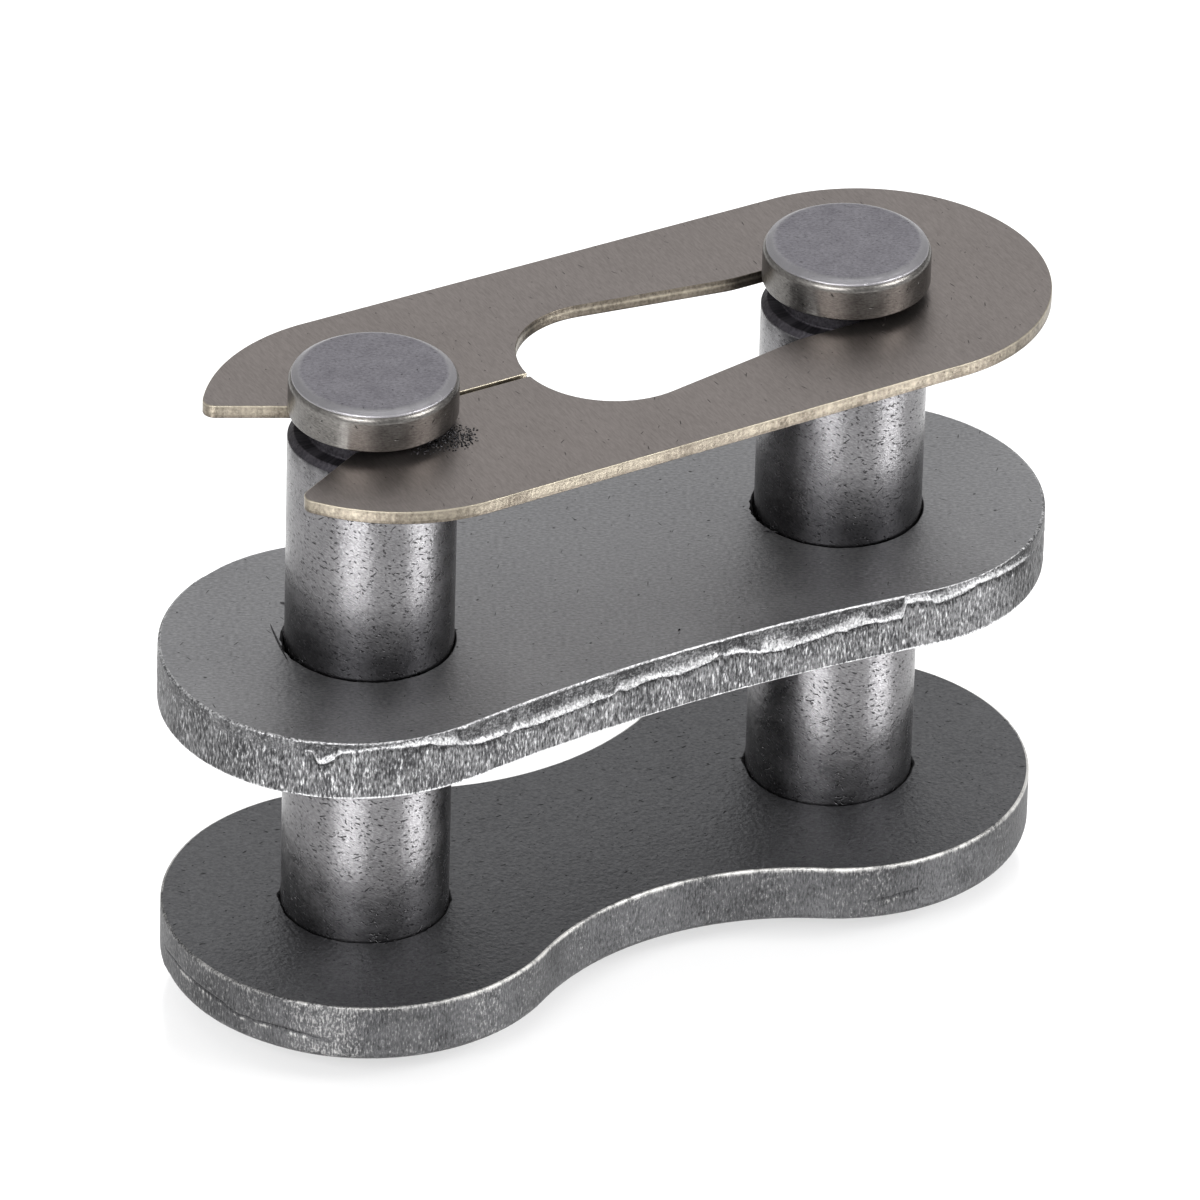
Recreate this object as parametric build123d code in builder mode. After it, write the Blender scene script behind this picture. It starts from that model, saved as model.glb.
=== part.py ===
"""Connecting link of a roller chain, with its cover plate and its spring clip.

The link stands on the riveted ends of its two pins. The origin lies midway
between the pins in the plane of those ends, +X runs along the pitch and +Z runs
up the pins to their heads. All sizes are in millimetres.
"""

from build123d import *
import math
import os

# ---- Driving sizes -----------------------------------------------------------

pitch = 12.7  # between the two pin axes

# Plates, both blanked from one gauge of strip
plate_thickness = 1.5

fixed_end_radius = 4.8  # around each pin axis
fixed_waist_depth = 1.85  # from the widest line of the ends down to the waist
fixed_edge_round = 0.25  # outer rim of the face that lies away from the chain

cover_end_radius = 4.5
cover_end_shift = 0.48  # centre of each end, outward from the pin axis
cover_waist_depth = 0.49
cover_edge_round = 0.08
cover_gap = 5.7  # clear height between the plates, with the cover part way down
cover_hole_clearance = 0.03  # on the radius, a slip fit
cover_hole_chamfer = 0.1  # at the mouth of each hole

# Pins
pin_diameter = 3.96
shank_length = 12.8  # from the fixed plate up to the shoulder under the clip
shoulder_chamfer = 0.15
groove_depth = 0.48  # on the radius
head_height = 1.04
head_chamfer_width = 0.28
head_chamfer_height = 0.15
head_edge_break = 0.06  # chamfer on the lower edge of the head
rivet_height = 0.7  # of the upset end below the fixed plate
rivet_spread = 0.22  # on the radius, beyond the shank
rivet_edge_round = 0.25

# Spring clip
clip_thickness = 0.33
groove_play = 0.23  # height of the groove left over above the clip
clip_closed_radius = 4.35
clip_closed_shift = 0.57  # centre of the closed end, outward from the pin axis
clip_leg_radius = 4.48
clip_leg_shift = 0.6  # centre of the leg ends, inward from the pin axis
clip_seat_clearance = 0.05  # on the radius of a seat, around the groove's root
clip_neck_grip = 0.37  # how far each leg reaches in behind the groove's root
clip_neck_round = 0.2
clip_tip_round = 0.3
clip_mouth_angle = 28  # of each leg's lead-in, measured from the clip's axis
clip_slit_width = 0.14
clip_head_clearance = 0.24  # on the radius, where a pin's head passes through
clip_taper_length = 4.05  # from the round opening to the straight channel
clip_taper_blend = 3.0

# ---- Derived sizes -----------------------------------------------------------

half_pitch = pitch / 2
pin_radius = pin_diameter / 2
groove_root_radius = pin_radius - groove_depth
rivet_radius = pin_radius + rivet_spread

fixed_top = rivet_height + plate_thickness
cover_bottom = fixed_top + cover_gap
shoulder_top = fixed_top + shank_length
head_bottom = shoulder_top + clip_thickness + groove_play
head_top = head_bottom + head_height

seat_radius = groove_root_radius + clip_seat_clearance
neck_half_gap = groove_root_radius - clip_neck_grip
opening_radius = pin_radius + clip_head_clearance
closed_end_x = half_pitch + clip_closed_shift
leg_end_x = -half_pitch + clip_leg_shift
neck_x = -half_pitch - math.sqrt(seat_radius**2 - neck_half_gap**2)
mouth_x = leg_end_x - clip_leg_radius
mouth_half_gap = neck_half_gap + (neck_x - mouth_x) * math.tan(math.radians(clip_mouth_angle))


def waisted_outline(end_x: float, end_radius: float, waist_depth: float) -> None:
    """Add a plate's closed outline to the line that is being built.

    Two convex ends meet two hollow waist arcs tangentially.

    Args:
        end_x: distance of each end's centre from the middle of the plate.
        end_radius: radius of the ends.
        waist_depth: how far the waist lies inside the line that touches both ends.
    """
    waist_y = end_radius - waist_depth
    waist_radius = (end_x**2 + waist_y**2 - end_radius**2) / (2 * waist_depth)
    share = end_radius / (end_radius + waist_radius)
    touch_x = end_x * (1 - share)
    touch_y = (waist_y + waist_radius) * share
    tip_x = end_x + end_radius
    ThreePointArc((touch_x, -touch_y), (tip_x, 0), (touch_x, touch_y))
    ThreePointArc((touch_x, touch_y), (0, waist_y), (-touch_x, touch_y))
    ThreePointArc((-touch_x, touch_y), (-tip_x, 0), (-touch_x, -touch_y))
    ThreePointArc((-touch_x, -touch_y), (0, -waist_y), (touch_x, -touch_y))


# ---- Fixed plate: deep waist, pressed onto the pins -----------------------------

with BuildPart() as fixed_plate:
    with BuildSketch(Plane.XY.offset(rivet_height)):
        with BuildLine():
            waisted_outline(half_pitch, fixed_end_radius, fixed_waist_depth)
        make_face()
        with GridLocations(pitch, 0, 2, 1):
            Circle(pin_radius, mode=Mode.SUBTRACT)
    extrude(amount=plate_thickness)
    outer_face = fixed_plate.faces().sort_by(Axis.Z)[0]
    fillet(outer_face.outer_wire().edges(), fixed_edge_round)

fixed_plate.part.label = "fixed_plate"

# ---- Cover plate: shallow waist, slides on the pins -----------------------------

with BuildPart() as cover_plate:
    with BuildSketch(Plane.XY.offset(cover_bottom)):
        with BuildLine():
            waisted_outline(half_pitch + cover_end_shift, cover_end_radius, cover_waist_depth)
        make_face()
        with GridLocations(pitch, 0, 2, 1):
            Circle(pin_radius + cover_hole_clearance, mode=Mode.SUBTRACT)
    extrude(amount=plate_thickness)
    outer_face = cover_plate.faces().sort_by(Axis.Z)[-1]
    fillet(outer_face.outer_wire().edges(), cover_edge_round)
    outer_face = cover_plate.faces().sort_by(Axis.Z)[-1]
    for hole_mouth in outer_face.inner_wires():
        chamfer(hole_mouth.edges(), cover_hole_chamfer)

cover_plate.part.label = "cover_plate"

# ---- Pins: turned with a groove for the clip and riveted below the fixed plate ---

pins = []
for pin_name, pin_x in (("left_pin", -half_pitch), ("right_pin", half_pitch)):
    pin_plane = Plane(origin=(pin_x, 0, 0), x_dir=(1, 0, 0), z_dir=(0, -1, 0))
    with BuildPart() as pin:
        with BuildSketch(pin_plane):
            with BuildLine():
                Polyline(
                    (0, 0),
                    (rivet_radius, 0),
                    (rivet_radius, rivet_height),
                    (pin_radius, rivet_height),
                    (pin_radius, shoulder_top),
                    (groove_root_radius, shoulder_top),
                    (groove_root_radius, head_bottom),
                    (pin_radius - head_edge_break, head_bottom),
                    (pin_radius, head_bottom + head_edge_break),
                    (pin_radius, head_top - head_chamfer_height),
                    (pin_radius - head_chamfer_width, head_top),
                    (0, head_top),
                    close=True,
                )
            make_face()
        revolve(axis=Axis((pin_x, 0, 0), (0, 0, 1)))
        rivet_rim = pin.edges().filter_by_position(Axis.Z, 0, 0)
        fillet(rivet_rim, rivet_edge_round)
        shoulder_rims = pin.edges().filter_by_position(Axis.Z, shoulder_top, shoulder_top)
        chamfer(shoulder_rims.sort_by(SortBy.RADIUS)[-1], shoulder_chamfer)
    pin.part.label = pin_name
    pins.append(pin.part)

# ---- Spring clip: one strip of spring steel, seated in both grooves -------------

with BuildPart() as spring_clip:
    with BuildSketch(Plane.XY.offset(shoulder_top)) as clip_profile:
        # Blank: a closed end and the rounded leg ends, joined by straight sides
        with Locations((closed_end_x, 0)):
            Circle(clip_closed_radius)
        with Locations((leg_end_x, 0)):
            Circle(clip_leg_radius)
        make_hull()

        # Keyhole: an opening that lets a head through, tapering to the closed seat
        with BuildSketch(mode=Mode.PRIVATE) as keyhole:
            Circle(opening_radius)
            with Locations((clip_taper_length, 0)):
                Circle(seat_radius)
            make_hull()
            channel_middle = (clip_taper_length + half_pitch) / 2
            with Locations((channel_middle, 0)):
                SlotCenterToCenter(half_pitch - clip_taper_length, 2 * seat_radius)
            taper_corners = keyhole.vertices().filter_by_position(
                Axis.X, clip_taper_length, channel_middle
            )
            fillet(taper_corners, clip_taper_blend)
        add(keyhole.sketch, mode=Mode.SUBTRACT)

        # Open seat between the legs, with the slit that lets them spring apart
        with Locations((-half_pitch, 0)):
            Circle(seat_radius, mode=Mode.SUBTRACT)
        with Locations((-half_pitch / 2, 0)):
            Rectangle(half_pitch, clip_slit_width, mode=Mode.SUBTRACT)

        # Mouth: lead-ins that open from the neck to the tips of the legs
        with BuildLine():
            Polyline(
                (neck_x, neck_half_gap),
                (mouth_x, mouth_half_gap),
                (mouth_x, -mouth_half_gap),
                (neck_x, -neck_half_gap),
                close=True,
            )
        make_face(mode=Mode.SUBTRACT)
        leg_corners = clip_profile.vertices().filter_by_position(Axis.X, mouth_x, neck_x)
        fillet(leg_corners.group_by(Axis.X)[0], clip_tip_round)
        leg_corners = clip_profile.vertices().filter_by_position(Axis.X, neck_x, neck_x)
        fillet(leg_corners, clip_neck_round)
    extrude(amount=clip_thickness)

spring_clip.part.label = "spring_clip"

os.makedirs("parts", exist_ok=True)
for piece in (fixed_plate.part, cover_plate.part, spring_clip.part, *pins):
    export_step(piece, f"parts/{piece.label}.step")
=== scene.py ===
"""Connecting link of a roller chain, dressed in blanked, turned and brushed steel.

Sizes are in millimetres until a mesh is made, and the frame's are in metres.
"""

import logging
import math
from collections.abc import Sequence
from dataclasses import dataclass, field
from enum import Enum, IntEnum

import bpy
import numpy as np
from mathutils import Matrix, Vector
from mathutils.geometry import delaunay_2d_cdt


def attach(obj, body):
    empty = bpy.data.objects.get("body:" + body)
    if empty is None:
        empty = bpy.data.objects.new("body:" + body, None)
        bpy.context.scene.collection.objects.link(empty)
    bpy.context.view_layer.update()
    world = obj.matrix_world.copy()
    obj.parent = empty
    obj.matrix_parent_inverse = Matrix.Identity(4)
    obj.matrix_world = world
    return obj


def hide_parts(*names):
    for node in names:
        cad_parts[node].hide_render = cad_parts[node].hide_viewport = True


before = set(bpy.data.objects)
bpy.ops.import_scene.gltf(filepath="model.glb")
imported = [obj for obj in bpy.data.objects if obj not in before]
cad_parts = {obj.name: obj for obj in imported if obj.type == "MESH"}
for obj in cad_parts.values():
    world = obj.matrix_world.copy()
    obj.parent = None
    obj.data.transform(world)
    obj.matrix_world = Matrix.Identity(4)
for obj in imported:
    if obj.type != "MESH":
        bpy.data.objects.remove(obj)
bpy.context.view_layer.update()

MM = 0.001

PITCH = 12.7
PIN_RADIUS = 1.98
RIVET_HEIGHT = 0.7
PLATE_THICKNESS = 1.5
FIXED_TOP = RIVET_HEIGHT + PLATE_THICKNESS
COVER_BOTTOM = FIXED_TOP + 5.7
COVER_TOP = COVER_BOTTOM + PLATE_THICKNESS
SHOULDER_TOP = FIXED_TOP + 12.8
CLIP_THICKNESS = 0.33
HEAD_BOTTOM = 15.56
HEAD_TOP = 16.6
GROOVE_ROOT_RADIUS = 1.5
SEAT_RADIUS = 1.55

PIN_LENGTH = 17.0  # what the pins' map counts as one, a little over their length
PIN_MAP = (2 * math.pi * PIN_RADIUS, PIN_LENGTH)  # what that map spans, around and up
MAP_SEAM = math.radians(59)  # where the map's ends meet, at the back
SHARP_EDGE = math.radians(35)  # above which a pin's edge isn't shaded smooth
WELD = 0.0005  # points of a pin this close are one
RIM_BLEND = 0.1  # over which a head's flat passes into its worn rim
NOISE_SWING = 4  # brings a noise's narrow range up to about a whole one
CLOUD_RANGE = (0.35, 0.65)  # the clouds' noise where the metal is smoothest and roughest
PIT_COVER = 0.85  # how far a pit's shade hides the metal
HOLLOW_SHADE_TONE = 0.35  # how dark painted shade in a hollow is, of the dark metal
SMEAR = 1.6  # how far the border of a band of painted shade and grease strays
BAND_REACH = 1.0  # how far a band of painted shade and grease goes on below the height where it is full
BAND_FADE = 0.9  # over which it then ends
SEED_STEP = 0.0137  # metres by which the next seed moves the grain
SPECK_RISE = (0.06, 0.2)  # the grain where a speck's painted glint begins and where it is full
SPECK_TEAR = 0.02  # depth of torn metal from which its specks are as bright as they get
CORNER_REACH = 6  # how many roundings away a corner's sides are searched
CORNER_POINTS = 1200  # how finely they are
CORNER_NEAR = 20  # points beside the corner, where its rounding can't end

Colour = tuple[float, float, float]
Array = np.ndarray
Piece = bpy.types.Object
Material = bpy.types.Material
Socket = bpy.types.NodeSocket
log = logging.getLogger("connecting_link")


# ---- Node trees ------------------------------------------------------------------


class Bench:
    """Builds a node tree, one node at a time."""

    def __init__(self, tree: bpy.types.NodeTree) -> None:
        """Start work on an empty tree."""
        self.tree = tree
        tree.nodes.clear()

    def node(self, kind: str, inputs: dict | None = None, **settings: object) -> bpy.types.Node:
        """Add a node.

        Args:
            kind: the node's type.
            inputs: value or output socket for each input, by name or number.
            settings: properties of the node itself.

        Returns:
            The new node.
        """
        made = self.tree.nodes.new(kind)
        for name, value in settings.items():
            setattr(made, name, value)
        for name, value in (inputs or {}).items():
            if isinstance(value, Socket):
                self.tree.links.new(value, made.inputs[name])
            else:
                made.inputs[name].default_value = value
        return made

    def out(self, kind: str, inputs: dict | None = None, **settings: object) -> Socket:
        """Add a node, and return its first output."""
        return self.node(kind, inputs, **settings).outputs[0]

    def math(self, operation: str, *values: object) -> Socket:
        """Return the result of a Math node on one to three numbers or sockets."""
        return self.out("ShaderNodeMath", dict(enumerate(values)), operation=operation)

    def times(self, value: object, factor: object, *plus: object) -> Socket:
        """Return a product, with what is to be added to it, if anything."""
        return self.math("MULTIPLY_ADD" if plus else "MULTIPLY", value, factor, *plus)

    def centred(self, grey: Socket) -> Socket:
        """Return a grey less a half."""
        return self.math("SUBTRACT", grey, 0.5)

    def vector(self, operation: str, *values: object) -> Socket:
        """Return the result of a Vector Math node: a length, or else a vector."""
        made = self.node("ShaderNodeVectorMath", dict(enumerate(values)), operation=operation)
        return made.outputs[1 if operation == "LENGTH" else 0]

    def scaled(self, where: Socket, factor: object) -> Socket:
        """Return a vector times a number."""
        return self.out("ShaderNodeVectorMath", {0: where, 3: factor}, operation="SCALE")

    def turned(self, where: Socket, angle: object) -> Socket:
        """Return a place turned about Z, by an angle in radians."""
        inputs = {"Vector": where, "Angle": angle}
        return self.out("ShaderNodeVectorRotate", inputs, rotation_type="Z_AXIS")

    def parts(self, vector: Socket) -> Sequence[Socket]:
        """Return the three parts of a vector or colour."""
        return self.node("ShaderNodeSeparateXYZ", {0: vector}).outputs

    def combined(self, x: object, y: object, z: object) -> Socket:
        """Return a vector of three numbers or sockets."""
        return self.out("ShaderNodeCombineXYZ", {0: x, 1: y, 2: z})

    def noise(self, where: Socket, scale: float, detail: float, rough: float = 0.55) -> Socket:
        """Return a grey noise, about 0.3 to 0.7, at a scale per unit of the vector."""
        inputs = {"Vector": where, "Scale": scale, "Detail": detail, "Roughness": rough}
        return self.out("ShaderNodeTexNoise", inputs)

    def span(self, value: Socket, low: float, high: float, *ends: float) -> Socket:
        """Return a value mapped from one range to 0 and 1, or to two ends, and held there."""
        numbers = (value, low, high, *(ends or (0.0, 1.0)))
        return self.out("ShaderNodeMapRange", dict(enumerate(numbers)), clamp=True)

    def between(self, share: Socket, low: Socket, high: Socket) -> Socket:
        """Return a mix of two numbers."""
        return self.out("ShaderNodeMix", {0: share, 2: low, 3: high})

    def blend(self, share: object, low: Socket | Colour, high: Socket | Colour) -> Socket:
        """Mix two colours.

        Args:
            share: how much of the second one there is, from 0 to 1.
            low: the first colour.
            high: the second colour.

        Returns:
            The mix.
        """
        low, high = (c if isinstance(c, Socket) else (*c, 1.0) for c in (low, high))
        inputs = {0: share, 6: low, 7: high}
        return self.node("ShaderNodeMix", inputs, data_type="RGBA").outputs[2]

    def attribute(self, name: str) -> Socket:
        """Return a named attribute of the mesh, as a number."""
        return self.node("ShaderNodeAttribute", attribute_name=name).outputs["Fac"]


class Input(Enum):
    """Kinds of named input that a recipe takes."""

    LENGTH = "NodeSocketFloat"
    COUNT = "NodeSocketInt"
    PLACE = "NodeSocketVector"
    FINISH = "NodeSocketMaterial"


class Recipe(Bench):
    """A Geometry Nodes tree with named inputs, which makes or works a piece's mesh."""

    def __init__(self, name: str, inputs: dict[Input, Sequence[str]]) -> None:
        """Open an empty recipe.

        Args:
            name: the tree's name.
            inputs: the names of its inputs, kind by kind.
        """
        tree = bpy.data.node_groups.new(name, "GeometryNodeTree")
        add = tree.interface.new_socket
        for way in ("INPUT", "OUTPUT"):
            add("Geometry", in_out=way, socket_type="NodeSocketGeometry")
        self.keys = {
            label: add(label, in_out="INPUT", socket_type=kind.value).identifier
            for kind, labels in inputs.items()
            for label in labels
        }
        super().__init__(tree)
        self.given = self.node("NodeGroupInput").outputs

    def attribute(self, name: str, kind: str = "FLOAT") -> Socket:
        """Return a named attribute of the mesh."""
        made = self.node("GeometryNodeInputNamedAttribute", {"Name": name}, data_type=kind)
        return made.outputs["Attribute"]

    def store(self, mesh: Socket, name: str, value: Socket, kind: str, domain: str) -> Socket:
        """Keep a value on the mesh.

        Args:
            mesh: the mesh.
            name: the name the value is kept under.
            value: the value.
            kind: its type.
            domain: whether it belongs to points, corners or faces.

        Returns:
            The mesh with the value on it.
        """
        inputs = {"Geometry": mesh, "Name": name, "Value": value}
        return self.out(
            "GeometryNodeStoreNamedAttribute", inputs, data_type=kind, domain=domain
        )

    def grain(self, where: Socket) -> Socket:
        """Return a noise about zero, from -0.5 to 0.5, with one cell a unit."""
        return self.centred(self.noise(where, 1.0, 2.0, 0.6))

    def dress(self, mesh: Socket, finish: Socket, chosen: Socket | None = None) -> Socket:
        """Give a finish to the mesh, or to a part of it.

        Args:
            mesh: the mesh.
            finish: its material.
            chosen: which of its faces get it, if not all do.

        Returns:
            The dressed mesh.
        """
        selection = {} if chosen is None else {"Selection": chosen}
        inputs = {"Geometry": mesh, "Material": finish, **selection}
        return self.out("GeometryNodeSetMaterial", inputs)

    def realize(self, mesh: Socket) -> Socket:
        """Make every instance real."""
        return self.out("GeometryNodeRealizeInstances", {"Geometry": mesh})

    def close(self, mesh: Socket) -> "Recipe":
        """Send the mesh out of the tree."""
        self.node("NodeGroupOutput", {"Geometry": mesh})
        return self

    def make(self, piece: Piece, values: dict[str, object]) -> Piece:
        """Run the recipe on a piece, and leave a plain mesh.

        Args:
            piece: the piece, whose own mesh is the recipe's geometry.
            values: what each named input is given.

        Returns:
            The same piece with its finished mesh.
        """
        modifier = piece.modifiers.new(self.tree.name, "NODES")
        modifier.node_group = self.tree
        for label, value in values.items():
            modifier[self.keys[label]] = value
        graph = bpy.context.evaluated_depsgraph_get()
        mesh = bpy.data.meshes.new_from_object(piece.evaluated_get(graph), depsgraph=graph)
        piece.modifiers.clear()
        rough = piece.data
        piece.data = mesh
        bpy.data.meshes.remove(rough)
        mesh.name = piece.name
        return piece


# ---- Finishes --------------------------------------------------------------------


@dataclass
class Surface:
    """A finish in the making: where a point lies, and what is laid there so far."""

    bench: Bench
    where: Socket
    grain: Socket
    colour: Socket
    height: Socket

    def lay(self, share: Socket, colour: Colour) -> None:
        """Lay a colour over a share of the surface."""
        self.colour = self.bench.blend(share, self.colour, colour)

    def raise_by(self, share: Socket, height: float) -> None:
        """Raise the surface by a share of a height."""
        self.height = self.bench.times(share, height, self.height)


@dataclass(frozen=True)
class Dashes:
    """Short marks scattered over a surface, such as pits or nicks.

    Lengths are in millimetres and angles in degrees. The marks lean by up to `spread` to
    either side of `turn`, and `share` of the cells hold one. The smallest marks lack
    `shrink` of the full size, and a mark is at its full depth out to `core` of its size.
    """

    cell: float
    length: float
    width: float
    turn: float = 0.0
    spread: float = 60.0
    share: float = 0.5
    shrink: float = 0.6
    core: float = 0.55

    def lay(self, bench: Bench, where: Socket) -> Socket:
        """Scatter the marks, one to a cell at most, each with its own lean and size.

        Args:
            bench: the tree that is being built.
            where: place on the piece, in millimetres.

        Returns:
            1 inside a mark and 0 outside.
        """
        inputs = {"Vector": where, "Scale": 1 / self.cell, "Randomness": 1.0}
        cells = bench.node("ShaderNodeTexVoronoi", inputs, feature="F1").outputs
        leaning, kept, shrinking = bench.parts(cells["Color"])
        spread = math.radians(self.spread) * 2
        lean = bench.times(bench.centred(leaning), spread, math.radians(self.turn))
        turned = bench.turned(bench.vector("SUBTRACT", where, cells["Position"]), lean)
        shape = bench.vector("MULTIPLY", turned, (1 / self.length, 1 / self.width, 0.0))
        size = bench.times(shrinking, -self.shrink, 1.0)
        reach = bench.math("DIVIDE", bench.vector("LENGTH", shape), size)
        chosen = bench.math("LESS_THAN", kept, self.share)
        return bench.times(bench.span(reach, 1.0, self.core), chosen)


@dataclass(frozen=True)
class SteelFinish:
    """A bare steel surface: tone, satin, grain, pits and hair scratches.

    Lengths are in millimetres. The grain's cell gives how long the marks of rolling,
    brushing or grinding are along each axis of the piece. A finish with an `unrolled`
    size follows the map `around`, which spans that much, instead of the piece's axes.
    """

    name: str
    dark: Colour
    light: Colour
    cloud_size: float = 2.5
    cloud_tone: float = 0.5
    roughness: tuple[float, float] = (0.36, 0.42)
    peel_size: float = 0.3
    peel_height: float = 0.004
    grain_cell: tuple[float, float, float] = (0.08, 0.08, 0.08)
    grain_turn: float = 0.0
    grain_height: float = 0.002
    grain_tone: float = 0.6
    pits: tuple[Dashes, ...] = ()
    pit_depth: float = 0.008
    pit_tone: float = 0.25
    unrolled: tuple[float, float] | None = None

    def place(self, bench: Bench) -> Socket:
        """Find where a point lies, on the piece or along its surface.

        Args:
            bench: the tree that is being built.

        Returns:
            The place, in millimetres.
        """
        if self.unrolled:
            around = bench.out("ShaderNodeUVMap", uv_map="around")
            return bench.vector("MULTIPLY", around, (*self.unrolled, 1.0))
        return bench.scaled(bench.node("ShaderNodeTexCoord").outputs["Object"], 1 / MM)

    def darkened(self, share: float) -> Colour:
        """Return a share of the dark metal's colour."""
        return tuple(c * share for c in self.dark)

    def build(self) -> Material:
        """Build the finish.

        Returns:
            A node material.
        """
        material = bpy.data.materials.new(self.name)
        material.use_nodes = True
        bench = Bench(material.node_tree)
        where = self.place(bench)
        cloud = bench.noise(where, 1 / self.cloud_size, 4.0)
        peel = bench.noise(where, 1 / self.peel_size, 2.0)
        cells = bench.vector(
            "MULTIPLY",
            bench.turned(where, math.radians(self.grain_turn)),
            tuple(1 / size for size in self.grain_cell),
        )
        grain = bench.noise(cells, 1.0, 3.0, 0.6)
        tone = bench.times(bench.centred(cloud), self.cloud_tone * NOISE_SWING, 0.5)
        tone = bench.times(bench.centred(grain), self.grain_tone * NOISE_SWING, tone)
        metal = bench.blend(bench.span(tone, 0.0, 1.0), self.dark, self.light)
        height = bench.times(peel, self.peel_height, bench.times(grain, self.grain_height))
        surface = Surface(bench, where, grain, metal, height)
        self.weather(surface)
        inputs = {
            "Base Color": surface.colour,
            "Metallic": 1.0,
            "Roughness": bench.span(cloud, *CLOUD_RANGE, *self.roughness),
            "Normal": bench.out(
                "ShaderNodeBump", {"Height": surface.height, "Distance": MM, "Strength": 1.0}
            ),
        }
        shader = bench.out("ShaderNodeBsdfPrincipled", inputs)
        bench.node("ShaderNodeOutputMaterial", {"Surface": shader})
        return material

    def weather(self, surface: Surface) -> None:
        """Lay the pits over the metal.

        Args:
            surface: the finish in the making.
        """
        for kind in self.pits:
            marks = kind.lay(surface.bench, surface.where)
            surface.lay(surface.bench.times(marks, PIT_COVER), self.darkened(self.pit_tone))
            surface.raise_by(marks, -self.pit_depth)


@dataclass(frozen=True)
class ShearedFinish(SteelFinish):
    """Metal torn or rubbed by a blanking die.

    It gets painted highlights and glints where the attribute of painted light and wear is high (on
    the heads, a worn rim), and painted shade in hollows, under lips and in cracks where that is
    negative.
    Its specks are round where `stripe` is 0 and drawn out where it is 1.
    """

    # colour of painted highlights and glints, and of worn rims on the heads
    bright: Colour = (0.7, 0.7, 0.7)
    speckle: float = 1.6
    speck_size: float = 0.06
    shaded_from: tuple[float, float] = (-0.05, -0.6)  # light where painted shade begins and is full
    shade_cover: float = 0.9
    bright_from: tuple[float, float] = (0.15, 0.95)  # the same for painted highlights

    def weather(self, surface: Surface) -> None:
        """Lay the painted shade and the painted highlights, and the brightness of worn rims, over
        the metal.

        Args:
            surface: the finish in the making.
        """
        super().weather(surface)
        bench = surface.bench
        specks = bench.noise(surface.where, 1 / self.speck_size, 3.0, 0.65)
        grain = bench.between(bench.attribute("stripe"), specks, surface.grain)
        light_and_wear = bench.times(bench.centred(grain), self.speckle, bench.attribute("light_and_wear"))
        surface.raise_by(grain, self.grain_height)
        # painted shade in hollows, under lips and in cracks
        soil_and_shade = bench.span(light_and_wear, *self.shaded_from, 0.0, self.shade_cover)
        surface.lay(soil_and_shade, self.darkened(HOLLOW_SHADE_TONE))
        # painted highlights and glints
        surface.lay(bench.span(light_and_wear, *self.bright_from), self.bright)


@dataclass(frozen=True)
class GreaseAndShadeFinish(SteelFinish):
    """Steel darkened in bands with a ragged border: painted shade near the plates and under the
    head, partly dried grease.

    Each band gives the height where it begins, the height where it is full, and how
    dark it is there.
    """

    bands: tuple[tuple[float, float, float], ...] = ()
    soil_and_shade: Colour = (0.012, 0.012, 0.014)

    def weather(self, surface: Surface) -> None:
        """Lay the bands of painted shade and grease over the worn steel.

        Args:
            surface: the finish in the making.
        """
        super().weather(surface)
        bench = surface.bench
        stray = bench.centred(bench.noise(surface.where, 2.2, 5.0, 0.7))
        level = bench.times(stray, SMEAR, bench.parts(surface.where)[1])
        for begin, full, strength in self.bands:
            share = bench.span(level, begin, full, 0.0, strength)
            if full < begin:
                foot = full - BAND_REACH
                share = bench.times(share, bench.span(level, foot - BAND_FADE, foot))
            surface.lay(share, self.soil_and_shade)


COVER_STEEL = SteelFinish(
    "cover_plate_steel", dark=(0.2, 0.2, 0.207), light=(0.36, 0.36, 0.368),
    cloud_tone=0.25, roughness=(0.42, 0.5), peel_size=0.13, peel_height=0.013,
    grain_cell=(0.11, 0.055, 0.05), grain_turn=31.0, grain_height=0.005, grain_tone=0.55,
    pits=(
        Dashes(cell=0.7, length=0.05, width=0.035, share=0.35),
        Dashes(cell=0.55, length=0.13, width=0.014, turn=20, spread=80, share=0.35),
    ),
)
# darker than the cover plate's steel, partly as painted shade under the cover plate
FIXED_STEEL = SteelFinish(
    "fixed_plate_steel", dark=(0.09, 0.0905, 0.095), light=(0.18, 0.181, 0.187),
    cloud_tone=0.25, roughness=(0.42, 0.5), peel_size=0.12, peel_height=0.03,
    grain_cell=(0.09, 0.06, 0.06), grain_turn=31.0, grain_height=0.006, grain_tone=0.5,
    pits=(
        Dashes(cell=0.5, length=0.1, width=0.03, turn=10, spread=50, share=0.4),
        Dashes(cell=0.3, length=0.035, width=0.03, spread=90, share=0.35),
    ),
)
COVER_EDGE = ShearedFinish(
    "cover_plate_edge", dark=(0.07, 0.07, 0.073), light=(0.205, 0.205, 0.209),
    bright=(0.75, 0.75, 0.76), speckle=3.0, cloud_size=0.8, cloud_tone=0.8,
    roughness=(0.4, 0.55), peel_size=0.12, peel_height=0.008,
    grain_cell=(0.045, 0.045, 0.16), grain_height=0.01, grain_tone=0.8,
)
# darker than the cover plate's edge, partly as painted shade
FIXED_EDGE = ShearedFinish(
    "fixed_plate_edge", dark=(0.045, 0.045, 0.047), light=(0.14, 0.14, 0.144),
    bright=(0.7, 0.69, 0.67), speckle=1.8, cloud_size=0.9, cloud_tone=0.45,
    roughness=(0.42, 0.55), peel_size=0.12, peel_height=0.008,
    grain_cell=(0.04, 0.04, 0.13), grain_height=0.009, grain_tone=0.55,
)
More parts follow.
